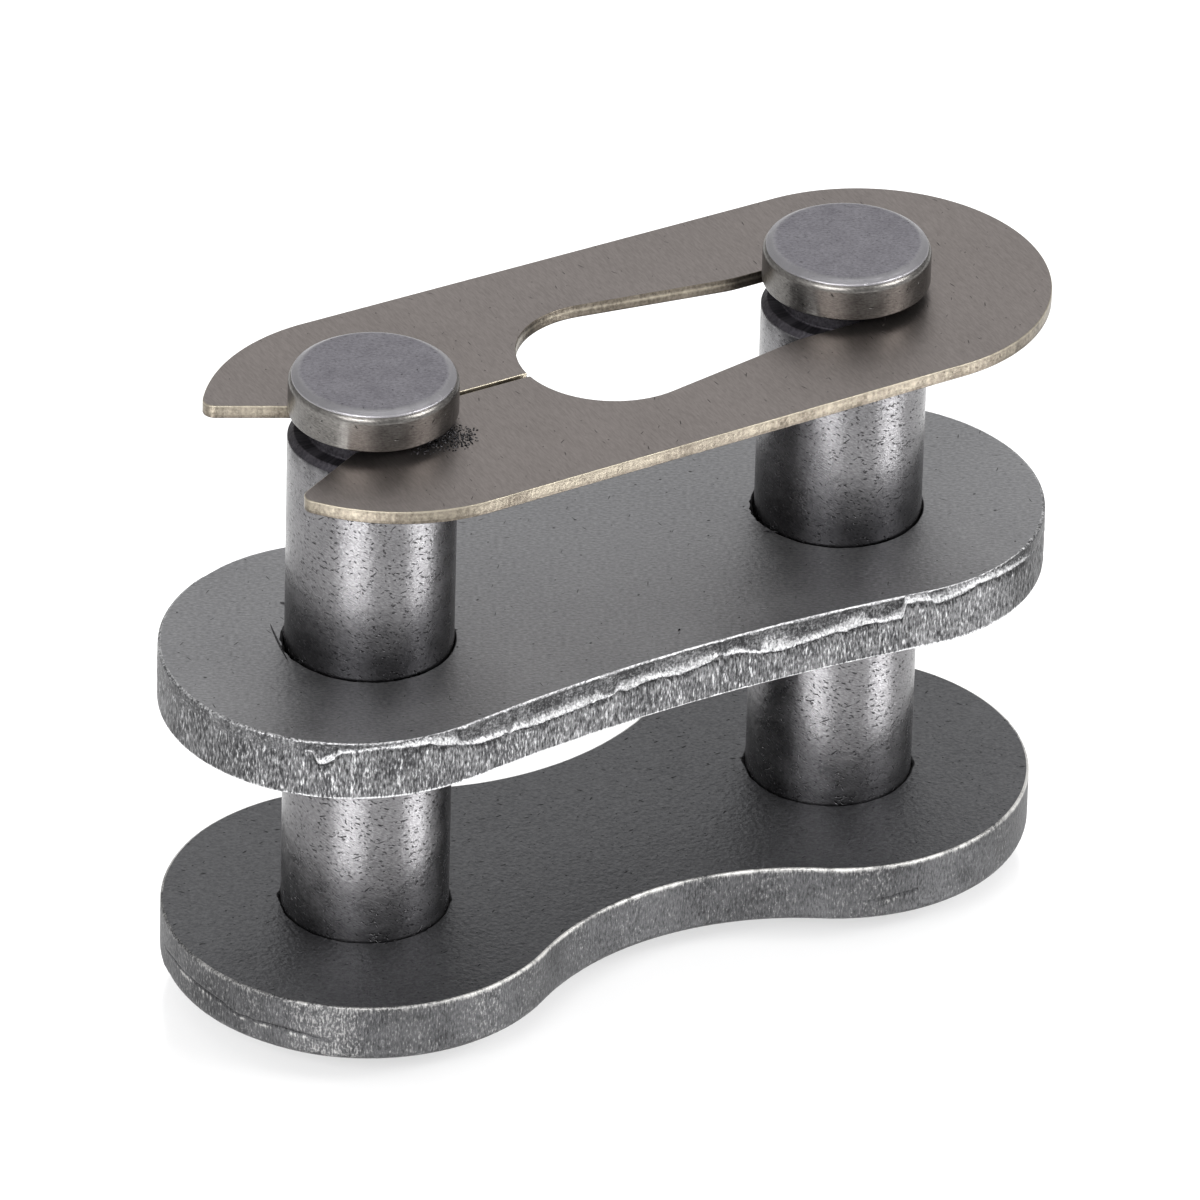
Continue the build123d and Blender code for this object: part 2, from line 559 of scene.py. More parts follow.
SHANK_STEEL = GreaseAndShadeFinish(
    "shank_steel", dark=(0.125, 0.122, 0.127), light=(0.27, 0.266, 0.272),
    cloud_size=0.7, cloud_tone=0.22, roughness=(0.25, 0.34), peel_size=0.26, peel_height=0.011,
    grain_cell=(0.1, 0.035, 0.1), grain_turn=25.0, grain_height=0.006,
    pits=(
        Dashes(cell=0.2, length=0.07, width=0.022, turn=25, spread=25, share=0.55),
        Dashes(cell=0.17, length=0.045, width=0.022, turn=20, spread=60, share=0.5),
        Dashes(cell=0.45, length=0.13, width=0.018, turn=-25, spread=20, share=0.3),
    ),
    pit_depth=0.02, pit_tone=0.45, unrolled=PIN_MAP,
    # painted shade under the head and near each plate, partly dried grease
    bands=((14.4, 15.0, 0.75), (11.5, 9.9, 0.72), (2.9, 2.3, 0.45)),
)
# nearly black: painted shade in the groove under the head
GROOVE_STEEL = SteelFinish(
    "groove_steel", dark=(0.03, 0.028, 0.033), light=(0.085, 0.08, 0.09),
    cloud_size=0.4, cloud_tone=0.3, roughness=(0.55, 0.75), peel_size=0.1, peel_height=0.02,
    unrolled=PIN_MAP,
)
HEAD_STEEL = ShearedFinish(
    "head_steel", dark=(0.165, 0.158, 0.179), light=(0.28, 0.272, 0.298),
    bright=(0.335, 0.328, 0.345), cloud_size=0.5, cloud_tone=0.4, roughness=(0.34, 0.44),
    peel_size=0.2, peel_height=0.005,
    grain_cell=(0.1, 0.045, 0.05), grain_turn=31.0, grain_height=0.004,
    pits=(
        Dashes(cell=0.5, length=0.05, width=0.02, spread=90, share=0.4),
        Dashes(cell=0.6, length=0.14, width=0.012, turn=20, spread=40, share=0.3),
    ),
)
HEAD_SIDE_STEEL = SteelFinish(
    "head_side_steel", dark=(0.09, 0.085, 0.08), light=(0.23, 0.22, 0.208),
    cloud_size=0.9, cloud_tone=0.45, roughness=(0.26, 0.36), peel_height=0.006,
    grain_cell=(0.1, 0.04, 0.1), grain_turn=10.0, grain_tone=0.5,
    pits=(Dashes(cell=0.35, length=0.07, width=0.022, spread=90, share=0.4),),
    unrolled=PIN_MAP,
)
CLIP_STEEL = SteelFinish(
    "clip_steel", dark=(0.183, 0.162, 0.152), light=(0.282, 0.253, 0.24),
    cloud_size=3.0, cloud_tone=0.25, roughness=(0.34, 0.42), peel_height=0.002,
    grain_cell=(0.22, 0.04, 0.05), grain_turn=-88.0, grain_height=0.003, grain_tone=0.4,
    pits=(
        Dashes(cell=0.6, length=0.12, width=0.014, turn=-80, spread=50, share=0.3),
        Dashes(cell=0.5, length=0.03, width=0.02, spread=90, share=0.3),
    ),
)
CLIP_EDGE = ShearedFinish(
    "clip_edge", dark=(0.09, 0.076, 0.06), light=(0.25, 0.218, 0.178),
    bright=(0.46, 0.415, 0.33), speckle=0.8, cloud_size=0.8, roughness=(0.34, 0.44),
    peel_size=0.12, grain_cell=(0.07, 0.07, 0.09), grain_height=0.004, grain_tone=0.4,
)
GREASE = SteelFinish(
    "dried_grease", dark=(0.008, 0.008, 0.009), light=(0.07, 0.068, 0.072),
    cloud_size=0.1, cloud_tone=1.2, roughness=(0.25, 0.5),
)


# ---- Outlines and meshes ---------------------------------------------------------


class Zone(IntEnum):
    """The surfaces of a blank, in the order of its material slots."""

    FACE = 0
    EDGE = 1
    BORE = 2


def arc(centre: Sequence[float], radius: float, start: float, end: float) -> Array:
    """Return points on an arc, from one angle to another, in degrees."""
    turn = np.radians(np.linspace(start, end, max(3, math.ceil(abs(end - start) / 1.5))))
    return np.column_stack([centre[0] + radius * np.cos(turn), centre[1] + radius * np.sin(turn)])


def bearing(way: Sequence[float]) -> float:
    """Return the angle of a way from +X, in degrees."""
    return math.degrees(math.atan2(way[1], way[0]))


def lengths(path: Array) -> Array:
    """Return how far along a path each of its points lies."""
    return np.concatenate([[0.0], np.cumsum(np.hypot(*np.diff(path, axis=0).T))])


def spaced(path: Array, marks: Array) -> Array:
    """Return the points at chosen distances along a path."""
    along = lengths(path)
    return np.column_stack([np.interp(marks, along, path[:, i]) for i in (0, 1)])


def rightward(ahead: Array) -> Array:
    """Return unit vectors to the right of each way ahead."""
    right = np.column_stack([ahead[:, 1], -ahead[:, 0]])
    return right / np.linalg.norm(right, axis=1, keepdims=True)


def rounding(distance: Array, radius: float) -> Array:
    """Return how far a rounded rim stands back, at a distance from its end."""
    rise = np.clip(radius - distance, 0.0, radius)
    return radius - np.sqrt(radius**2 - rise**2)


def bell(distance: Array | float, spread: float) -> Array | float:
    """Return 1 at no distance, and less the greater its square is beside the spread."""
    return np.exp(-(distance**2) / spread)


def wander(along: Array, length: float, seed: int) -> Array:
    """Read a smooth random line.

    Args:
        along: where to read it.
        length: distance between two of its turns.
        seed: which line it is.

    Returns:
        Its values, about zero and between -1 and 1.
    """
    count, start = 512, 200.0
    steps = np.random.default_rng(seed).uniform(-1, 1, count)
    place = along / length + start
    share = place % 1
    share = share * share * (3 - 2 * share)
    first = np.floor(place).astype(int) % count
    return steps[first] * (1 - share) + steps[(first + 1) % count] * share


@dataclass(frozen=True)
class Stray:
    """A random line: how far it strays from zero, how far apart its turns are, its number."""

    swing: float
    length: float
    number: int = 0

    def at(self, along: Array, seed: int) -> Array:
        """Return the line's values, for a piece's own seed."""
        return self.swing * wander(along, self.length, seed + self.number)


@dataclass(frozen=True)
class Outline:
    """A closed outline seen from above, with the way out of the metal at each point.

    A point's station is its distance along the outline from the outermost point at -X,
    counted anticlockwise, and negative on the way back to it.
    """

    points: Array
    outward: Array
    station: Array

    @classmethod
    def through(cls, path: Array, step: float) -> "Outline":
        """Space points evenly along an anticlockwise path.

        Args:
            path: corners of the path, in order.
            step: length between two points.

        Returns:
            The outline.
        """
        closed = np.vstack([path, path[:1]])
        whole = lengths(closed)[-1]
        count = round(whole / step)
        marks = np.arange(count) * whole / count
        points = spaced(closed, marks)
        outward = rightward(np.roll(points, -1, axis=0) - np.roll(points, 1, axis=0))
        half = whole / 2
        station = (marks - marks[np.argmin(points[:, 0])] + half) % whole - half
        return cls(points, outward, station)


def band_quads(first: int, rows: int, count: int) -> Array:
    """Join the rows of a wall.

    Args:
        first: the mesh's number for the first point of the top row.
        rows: how many rows there are.
        count: how many points a row has.

    Returns:
        Quads from the top row down, that face outwards, as the mesh's numbers.
    """
    row, column = np.meshgrid(np.arange(rows - 1), np.arange(count), indexing="ij")
    here = first + row * count + column
    beside = first + row * count + (column + 1) % count
    return np.stack([here, here + count, beside + count, beside], axis=-1).reshape(-1, 4)


def fill(rings: Sequence[Array], starts: Sequence[int]) -> list[tuple[int, ...]]:
    """Fill the flat face between an outer ring and the rings of its holes.

    Args:
        rings: points of each ring, the outer one first.
        starts: the mesh's number for the first point of each ring.

    Returns:
        Triangles that face up, as the mesh's numbers.
    """
    points, numbers, edges = [], [], []
    for ring, start in zip(rings, starts):
        first, count = len(points), len(ring)
        edges += [(first + i, first + (i + 1) % count) for i in range(count)]
        numbers += range(start, start + count)
        points += [Vector(p[:2]) for p in ring]
    outer = [list(range(len(rings[0])))]
    corners, _, triangles, sources, *_ = delaunay_2d_cdt(points, edges, outer, 1, 1e-7)
    middles = np.array([sum((corners[i] for i in t), Vector((0, 0))) / 3 for t in triangles])
    hollow = sum(inside(middles, ring) for ring in rings[1:])
    return [
        tuple(numbers[sources[i][0]] for i in triangle)
        for triangle, lost in zip(triangles, np.broadcast_to(hollow, len(triangles)))
        if not lost
    ]


def inside(points: Array, ring: Array) -> Array:
    """Find which points lie inside a closed ring.

    Args:
        points: the points to try.
        ring: the ring's own points, in order.

    Returns:
        1 for each point inside, and 0 for each of the others.
    """
    here, after = ring[:, :2], np.roll(ring[:, :2], -1, axis=0)
    x, y = points[:, :1], points[:, 1:2]
    crosses = (here[:, 1] > y) != (after[:, 1] > y)
    rise = after[:, 1] - here[:, 1]
    share = (y - here[:, 1]) / np.where(rise == 0, 1.0, rise)
    left = x < here[:, 0] + share * (after[:, 0] - here[:, 0])
    return (crosses & left).sum(axis=1) % 2


def add_object(name: str, data: bpy.types.ID) -> Piece:
    """Add an object to the scene.

    Args:
        name: the object's name.
        data: its mesh, lamp or camera.

    Returns:
        The new object.
    """
    made = bpy.data.objects.new(name, data)
    bpy.context.scene.collection.objects.link(made)
    return made


def new_piece(name: str, points: Sequence, edges: Sequence, faces: Sequence) -> Piece:
    """Make a mesh object at the origin.

    Args:
        name: the object's name.
        points: its points, in millimetres.
        edges: pairs of points, where there are no faces.
        faces: its faces.

    Returns:
        The new object.
    """
    mesh = bpy.data.meshes.new(name)
    mesh.from_pydata((np.asarray(points) * MM).tolist(), edges, faces)
    mesh.update()
    return add_object(name, mesh)


def keep(piece: Piece, name: str, kind: str, domain: str, values: Array) -> None:
    """Keep values on a piece's mesh.

    Args:
        piece: the piece.
        name: the name they are kept under.
        kind: their type.
        domain: whether they belong to points or faces.
        values: one for each point or face.
    """
    number = np.int32 if kind == "INT" else np.float32
    layer = piece.data.attributes.new(name, kind, domain)
    key = "vector" if kind == "FLOAT_VECTOR" else "value"
    layer.data.foreach_set(key, np.asarray(values, dtype=number).ravel())


@dataclass
class Wall:
    """The outer wall of a blank, in rows of points from the top down."""

    outline: Outline
    top: float
    thickness: float
    top_round: float
    bottom_round: float
    rows: list[list[Array]] = field(default_factory=list)

    def add(self, *row: object) -> None:
        """Add one row.

        Args:
            row: how far it lies below the top, how far it stands out, how much painted light and
                wear
            brighten it (or painted shade darkens it, where negative), how deep the grain of its
            torn metal is, and how far that grain is drawn out up and down, from 0 to 1.
        """
        self.rows.append([np.broadcast_to(v, len(self.outline.points)) for v in row])

    def points(self) -> Array:
        """Set out the rows, with both rims rounded.

        Returns:
            The points, row by row.
        """
        rows = []
        for depth, stands, *_ in self.rows:
            back = rounding(depth, self.top_round)
            back = back + rounding(self.thickness - depth, self.bottom_round)
            moved = self.outline.points + self.outline.outward * (stands - back)[:, None]
            rows.append(np.column_stack([moved, self.top - depth]))
        return np.stack(rows)


@dataclass
class Blank:
    """A flat blank: a wall around its outline, bores, and a face above and below.

    Its grain's size and length and its specks' painted glints are those of the torn wall.
    """

    name: str
    wall: Wall
    finish: SteelFinish
    edge: ShearedFinish
    grain_size: float
    grain_length: float
    speck: float
    seed: int
    bores: list[Array] = field(default_factory=list)

    def build(self, shear: Recipe) -> Piece:
        """Return the blank, with its zones and its wall's values kept on the mesh.

        Args:
            shear: the recipe that tears the wall's grain.

        Returns:
            The blank with its torn wall.
        """
        walls = [self.wall.points(), *self.bores]
        starts = [0, *np.cumsum([w.shape[0] * w.shape[1] for w in walls]).tolist()]
        ends = [following - w.shape[1] for following, w in zip(starts[1:], walls)]
        faces: list = []
        zones: list[int] = []
        for number, (wall, start) in enumerate(zip(walls, starts)):
            quads = band_quads(start, wall.shape[0], wall.shape[1])
            faces += (quads[:, ::-1] if number else quads).tolist()
            zones += [Zone.BORE if number else Zone.EDGE] * len(quads)
        faces += fill([w[0] for w in walls], starts)
        faces += [t[::-1] for t in fill([w[-1] for w in walls], ends)]
        zones += [Zone.FACE] * (len(faces) - len(zones))
        piece = new_piece(self.name, np.vstack([w.reshape(-1, 3) for w in walls]), [], faces)
        edge, face = self.edge.build(), self.finish.build()
        for finish in (face, edge, face) if self.bores else (face, edge):
            piece.data.materials.append(finish)
        numbers = np.array(zones, dtype=np.int32)
        piece.data.polygons.foreach_set("material_index", numbers)
        piece.data.polygons.foreach_set("use_smooth", numbers != Zone.FACE)
        keep(piece, "zone", "INT", "FACE", numbers)
        rest = (0, starts[-1] - starts[1])
        for name, values in zip(("light_and_wear", "tear", "stripe"), list(zip(*self.wall.rows))[2:]):
            keep(piece, name, "FLOAT", "POINT", np.pad(np.concatenate(values), rest))
        outward = np.tile(self.wall.outline.outward, (len(self.wall.rows), 1))
        keep(piece, "outward", "FLOAT_VECTOR", "POINT", np.pad(outward, (rest, (0, 1))))
        values = {
            "Grain Size": self.grain_size * MM,
            "Grain Length": self.grain_length * MM,
            "Speck Glint": self.speck,
            "Seed": self.seed,
            "Wall Finish": edge,
        }
        return shear.make(piece, values)


def shear_recipe() -> Recipe:
    """Write the recipe that tears the grain of a sheared wall.

    The metal stands out and back along `outward` by `tear`, in a grain that `stripe`
    draws out up and down the wall, and its highest specks get painted glints.

    Returns:
        The recipe, which takes the grain's size, its length, its seed, how bright its
        specks' painted glints are and the wall's finish.
    """
    recipe = Recipe(
        "sheared_grain",
        {
            Input.LENGTH: ("Grain Size", "Grain Length", "Speck Glint"),
            Input.COUNT: ("Seed",),
            Input.FINISH: ("Wall Finish",),
        },
    )
    given = recipe.given
    seed = recipe.times(given["Seed"], SEED_STEP)
    place = recipe.out("GeometryNodeInputPosition")
    where = recipe.vector("ADD", place, recipe.combined(seed, seed, 0.0))
    fine = recipe.math("DIVIDE", 1.0, given["Grain Size"])
    long = recipe.math("DIVIDE", 1.0, given["Grain Length"])
    round_grain = recipe.grain(recipe.scaled(where, fine))
    cells = recipe.vector("MULTIPLY", where, recipe.combined(fine, fine, long))
    grain = recipe.between(recipe.attribute("stripe"), round_grain, recipe.grain(cells))
    tear = recipe.attribute("tear")
    reach = recipe.times(recipe.times(grain, tear), 2 * MM)
    step = recipe.scaled(recipe.attribute("outward", "FLOAT_VECTOR"), reach)
    moved = {"Geometry": given["Geometry"], "Offset": step}
    torn = recipe.out("GeometryNodeSetPosition", moved)
    # painted glints on the highest specks of the torn metal
    raised, deep = recipe.span(grain, *SPECK_RISE), recipe.span(tear, 0.0, SPECK_TEAR)
    speck = recipe.times(raised, deep)
    light_and_wear = recipe.times(speck, given["Speck Glint"], recipe.attribute("light_and_wear"))
    kept = recipe.store(torn, "light_and_wear", light_and_wear, "FLOAT", "POINT")
    zones = {2: recipe.attribute("zone", "INT"), 3: int(Zone.EDGE)}
    wall = recipe.out("FunctionNodeCompare", zones, data_type="INT", operation="EQUAL")
    return recipe.close(recipe.dress(recipe.realize(kept), given["Wall Finish"], wall))


# ---- Plates ---------------------------------------------------------------------


@dataclass(frozen=True)
class Seam:
    """A line along a wall, with its upper and lower depth at chosen stations."""

    knots: tuple[tuple[float, float, float], ...]
    fade: float = 0.4  # over which it begins and ends

    def at(self, station: Array) -> tuple[Array, Array, Array]:
        """Read the line.

        Args:
            station: where to read it.

        Returns:
            The upper depth, the lower depth, and 1 where the line is and 0 elsewhere.
        """
        marks, upper, lower = np.array(self.knots).T
        within = np.minimum(station - marks[0], marks[-1] - station)
        present = np.clip(within / self.fade, 0.0, 1.0)
        return np.interp(station, marks, upper), np.interp(station, marks, lower), present


MIRROR_STATION = -1.5  # the back ledge's stations are the front's, counted back from here
FRONT_LEDGE = Seam((
    (3.5, 0.18, 0.22), (3.86, 0.2, 0.27), (4.0, 0.38, 0.58), (4.19, 0.35, 0.53),
    (4.33, 0.28, 0.42), (4.5, 0.16, 0.24), (4.8, 0.15, 0.2), (5.43, 0.07, 0.12),
    (6.2, 0.04, 0.17), (6.6, 0.02, 0.16), (6.88, 0.02, 0.29), (7.28, 0.08, 0.38),
    (7.48, 0.36, 0.45), (7.71, 0.43, 0.53), (8.0, 0.47, 0.61), (8.58, 0.47, 0.63),
    (8.73, 0.44, 0.57), (8.85, 0.62, 0.64), (9.02, 0.46, 0.62), (9.44, 0.45, 0.67),
    (10.01, 0.43, 0.67), (10.57, 0.4, 0.65), (11.13, 0.37, 0.61), (11.41, 0.35, 0.6),
    (11.53, 0.55, 0.63), (11.8, 0.53, 0.56), (11.91, 0.35, 0.51), (12.19, 0.35, 0.6),
    (12.52, 0.34, 0.51), (13.06, 0.32, 0.51), (13.61, 0.32, 0.6), (14.01, 0.3, 0.55),
    (14.41, 0.25, 0.48), (14.57, 0.27, 0.41), (14.66, 0.35, 0.38), (14.84, 0.35, 0.46),
    (15.06, 0.3, 0.44), (15.27, 0.36, 0.47), (15.75, 0.55, 0.63), (15.88, 0.22, 0.64),
    (16.4, 0.28, 0.69), (16.72, 0.44, 0.66), (17.33, 0.46, 0.6), (17.79, 0.35, 0.54),
    (17.97, 0.2, 0.59), (18.48, 0.21, 0.49), (18.62, 0.41, 0.52), (19.14, 0.42, 0.58),
    (19.44, 0.35, 0.54), (19.53, 0.02, 0.17), (20.09, 0.02, 0.21), (20.15, 0.17, 0.19),
    (20.25, 0.08, 0.33), (20.53, 0.09, 0.32), (20.94, 0.04, 0.27), (21.53, 0.03, 0.14),
    (21.85, 0.04, 0.18), (22.59, 0.12, 0.24), (23.03, 0.17, 0.29), (23.6, 0.25, 0.36),
))
BACK_LEDGE = Seam(tuple(
    (MIRROR_STATION - s, u * 0.9 + 0.03, l * 0.9 + 0.03) for s, u, l in FRONT_LEDGE.knots[::-1]
))
LEFT_CRACK = Seam((
    (-1.4, 0.72, 0.74), (-1.06, 0.71, 0.74), (-0.63, 0.63, 0.66), (-0.27, 0.64, 0.67),
    (0.64, 0.63, 0.67), (1.35, 0.69, 0.73), (1.98, 0.84, 0.87), (2.54, 0.82, 0.85),
    (3.06, 0.79, 0.82), (3.68, 0.84, 0.87), (4.4, 0.95, 0.98),
))
RIGHT_CRACK = Seam((
    (18.9, 0.92, 0.95), (19.15, 0.92, 0.95), (19.88, 0.87, 0.9), (20.64, 0.76, 0.79),
    (20.9, 0.76, 0.79),
))


@dataclass
class Plate:
    """One of the two waisted plates.

    A chip of a bore's mouth gives its angle and its width, in degrees, and its depth.
    """

    name: str
    node: str
    body: str
    bottom: float
    end_x: float
    end_radius: float
    waist_depth: float
    bore_radius: float
    top_round: float
    bottom_round: float
    bore_chamfer: float
    finish: SteelFinish
    edge: ShearedFinish
    chips: tuple[tuple[float, float, float], ...]
    seed: int
    speck: float = 0.5
    step: float = 0.042
    mouth_stray: Stray = Stray(0.25, 5.0)  # of the bores' chamfers, by the degree
    chip_stray: Stray = Stray(0.5, 3.0, 3)
    mouth_rows: tuple[tuple[float, ...], ...] = (
        # Shares of the chamfer and the chip outwards, the same down, and a little more down.
        (1.0, 1.0, 0.0, 0.0, 0.0),
        (0.4, 0.9, 0.5, 0.4, 0.0),
        (0.0, 0.5, 1.0, 0.9, 0.002),
        (0.0, 0.0, 1.0, 1.6, 0.01),
    )

    def outline(self) -> Outline:
        """Draw two round ends joined by hollow waists.

        Returns:
            The plate's outline.
        """
        waist_y = self.end_radius - self.waist_depth
        hollow = (self.end_x**2 + waist_y**2 - self.end_radius**2) / (2 * self.waist_depth)
        lean = math.degrees(math.asin(self.end_x / (self.end_radius + hollow)))
        path = np.vstack([
            arc((self.end_x, 0), self.end_radius, -90 - lean, 90 + lean),
            arc((0, waist_y + hollow), hollow, -90 + lean, -90 - lean)[1:-1],
            arc((-self.end_x, 0), self.end_radius, 90 - lean, 270 + lean),
            arc((0, -waist_y - hollow), hollow, 90 + lean, 90 - lean)[1:-1],
        ])
        return Outline.through(path, self.step)

    def cut(self, wall: Wall) -> None:
        """Add the rows of the sheared wall to a bare one."""
        raise NotImplementedError

    def bores(self) -> list[Array]:
        """Cut both holes, with ragged and chipped mouths.

        Returns:
            The wall of each hole, row by row, from its chamfered mouth down.
        """
        top, ring = self.bottom + PLATE_THICKNESS, arc((0, 0), 1.0, 0, 360)[:-1]
        turn = np.linspace(0, 360, len(ring), endpoint=False)
        walls = []
        for side in (-1, 1):
            ragged = self.bore_chamfer * (1 + self.mouth_stray.at(turn, self.seed + side))
            torn = 1 + self.chip_stray.at(turn, self.seed + side)
            chip = np.zeros(len(ring))
            for middle, width, depth in self.chips:
                chip += depth * torn * bell(np.abs((turn - middle + 180) % 360 - 180), width**2)
            rows = []
            for out_ragged, out_chip, down_ragged, down_chip, drop in self.mouth_rows:
                radius = self.bore_radius + ragged * out_ragged + chip * out_chip
                rows.append((radius, top - ragged * down_ragged - chip * down_chip - drop))
            rows.append((np.full(len(ring), self.bore_radius), np.full(len(ring), self.bottom)))
            centre = (side * PITCH / 2, 0)
            walls.append(np.stack(
                [np.column_stack([ring * radius[:, None] + centre, z]) for radius, z in rows]
            ))
        return walls

    def build(self, shear: Recipe) -> Piece:
        """Return the finished plate.

        Args:
            shear: the recipe that tears the wall's grain.

        Returns:
            The plate, riding on its body.
        """
        top = self.bottom + PLATE_THICKNESS
        wall = Wall(self.outline(), top, PLATE_THICKNESS, self.top_round, self.bottom_round)
        self.cut(wall)
        piece = Blank(
            self.name, wall, self.finish, self.edge, grain_size=0.085, grain_length=0.34,
            speck=self.speck, seed=self.seed, bores=self.bores(),
        ).build(shear)
        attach(piece, self.body)
        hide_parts(self.node)
        return piece


@dataclass
class CoverPlate(Plate):
    """The sliding plate, whose wall broke away above a ledge with a painted highlight.

    Its wall has a torn zone from the rim down, then the ledge, whose lower border is a lip
    with a painted shadow below, then a drawn zone down to a rubbed foot with a painted highlight.
    Depths and widths are in millimetres, stations too, and tones, painted light and painted shade
    as the wall's finish takes them.
    """

    rows_above: int = 10
    rows_on_ledge: int = 5
    rows_below: int = 22
    foot_rows: tuple[float, ...] = (0.96, 0.975, 0.988, 1.0)  # shares of the drawn zone
    ledge_power: float = 0.8  # how the ledge rises from the torn zone to its lip
    drawn_power: float = 1.1  # how the drawn zone's rows crowd below the lip

    plain_depth: float = 0.34  # of the torn zone where there is no ledge
    plain_ledge: float = 0.05
    least_torn: float = 0.03
    least_ledge: float = 0.02
    full_ledge: float = 0.14  # the height of a ledge whose relief is full
    least_relief: float = 0.35
    torn_back: float = 0.075  # how far the torn zone stands back
    lip: float = 0.02  # how far the ledge's lip and the ridges stand out
    undercut: float = 0.045  # how far the metal stands back below the lip
    undercut_at: float = 0.07  # where that is deepest, as a share of the drawn zone
    undercut_spread: float = 0.002
    ridges: tuple[float, ...] = (4.38, 4.82, 15.5, 19.0)  # stations of upright ridges
    ridge_width: float = 0.05
    plain_stray: Stray = Stray(0.1, 0.9)
    upper_stray: Stray = Stray(0.012, 0.12, 5)
    lower_stray: Stray = Stray(0.015, 0.1, 6)

    rim_stretch: tuple[float, float] = (5.8, 22.8)  # stations where the rim is rubbed full
    foot_stretch: tuple[float, float] = (3.5, 22.0)
    stretch_fade: float = 1.5
    faint_rim: float = 0.6
    rim_height: float = 0.05
    rim_reach: float = 1.35  # rim heights at which the rim's painted highlight has gone
    rim_light: float = 0.85
    rim_strays: tuple[Stray, Stray] = (Stray(0.15, 0.35), Stray(0.1, 0.08))
    torn_tone: float = -0.34
    torn_stray: Stray = Stray(0.18, 0.22, 9)
    patch_tone: float = -0.08
    patch_stray: Stray = Stray(0.1, 0.5, 4)
    end_shade: float = 0.3  # how much darker the wall gets beyond a station
    end_station: float = 21.5
    end_fade: float = 2.0
    # a painted highlight that rises over the ledge
    ledge_light: tuple[float, float] = (-0.15, 0.8)  # at its foot and at its lip
    speck_glint: float = 0.2
    speck_stray: Stray = Stray(0.5, 0.09, 1)
    ledge_gain: float = 1.4
    lip_light: float = 0.45
    # painted shadow under the lip
    undercut_shade: float = -0.5
    ridge_light: float = 0.3
    plain_tear: float = 0.014
    torn_tear: float = 0.02
    lip_tear: float = 0.008
    drawn_tear: float = 0.028

    def rubbed_and_lit(self, station: Array, stretch: tuple[float, float], number: int) -> Array:
        """Brighten a rim, as rubbed metal with a painted highlight, uneven and full along one
        stretch and fainter elsewhere.

        Args:
            station: the stations along the wall.
            stretch: where the full stretch begins and ends.
            number: which of the plate's random lines make it uneven.

        Returns:
            The rim's painted highlight and wear.
        """
        start, end = stretch
        ahead = np.clip(np.minimum(station - start, end - station) / self.stretch_fade, 0, 1)
        slow, quick = (stray.at(station, self.seed + number) for stray in self.rim_strays)
        return (self.faint_rim + (1 - self.faint_rim) * ahead) * (self.rim_light + slow + quick)

    def cut(self, wall: Wall) -> None:
        """Add the torn zone, the ledge, its lip and the drawn zone below.

        Args:
            wall: the bare wall.
        """
        station, seed = wall.outline.station, self.seed
        front = station > 0
        seams = zip(FRONT_LEDGE.at(station), BACK_LEDGE.at(station))
        upper, lower, there = (np.where(front, a, b) for a, b in seams)
        plain = self.plain_depth + self.plain_stray.at(station, seed)
        upper = np.maximum(np.where(there > 0, upper, plain), self.least_torn)
        lower = np.where(there > 0, lower, plain + self.plain_ledge)
        lower = np.maximum(lower, upper + self.least_ledge)
        upper = upper + self.upper_stray.at(station, seed)
        lower = lower + self.lower_stray.at(station, seed)
        mirrored = np.where(front, station, MIRROR_STATION - station)
        # painted highlight lines along the rubbed rim and foot
        rim = self.rubbed_and_lit(mirrored, self.rim_stretch, 7)
        foot = self.rubbed_and_lit(mirrored, self.foot_stretch, 8)
        ridge = sum(bell(station - middle, self.ridge_width**2) for middle in self.ridges)
        wide = np.clip((lower - upper) / self.full_ledge, self.least_relief, 1.0) * there
        back = self.torn_back * wide
        patches = self.patch_stray.at(station, seed) + self.patch_tone
        beyond = np.clip((station - self.end_station) / self.end_fade, 0, 1)
        patches = patches - self.end_shade * beyond
        torn = there * (self.torn_stray.at(station, seed) + self.torn_tone) + patches
        for share in np.arange(self.rows_above) / self.rows_above:
            sink = min(1.0, share * 3)
            close = np.clip(self.rim_reach - upper * share / self.rim_height, 0, 1)
            tone = close * rim + (1 - close) * torn
            tear = (self.plain_tear + self.torn_tear * there) * sink
            wall.add(upper * share, -back * sink, tone, tear, 0.15)
        # the ledge gets a painted highlight that rises towards its lip
        dull, shining = self.ledge_light
        specks = self.speck_glint * (0.5 + self.speck_stray.at(station, seed))
        for share in np.arange(self.rows_on_ledge) / self.rows_on_ledge:
            shine = (shining - dull) * share**self.ledge_power + specks + dull
            shine = shine * np.clip(wide * self.ledge_gain, 0, 1)
            stands = self.lip * wide * share - back * (1 - share) ** self.ledge_power
            tear = self.torn_tear - (self.torn_tear - self.lip_tear) * share
            wall.add(upper + (lower - upper) * share, stands, shine, tear, 0.3)
        # a painted highlight on the lip
        wall.add(lower, self.lip * wide, self.lip_light * there, self.drawn_tear, 1.0)
        left = PLATE_THICKNESS - lower
        for share in np.linspace(0, 0.94, self.rows_below)[1:] ** self.drawn_power:
            # painted shadow under the lip, and painted highlights on the upright ridges
            under = bell(share - self.undercut_at, self.undercut_spread) * wide
            stands = self.lip * ridge - self.undercut * under
            shine = self.undercut_shade * under + self.ridge_light * ridge + patches
            wall.add(lower + left * share, stands, shine, self.drawn_tear, 1.0)
        for share in self.foot_rows:
            under = bell(share - self.undercut_at, self.undercut_spread) * wide
            wall.add(lower + left * share, self.lip * ridge - self.undercut * under, foot, 0.0, 1.0)


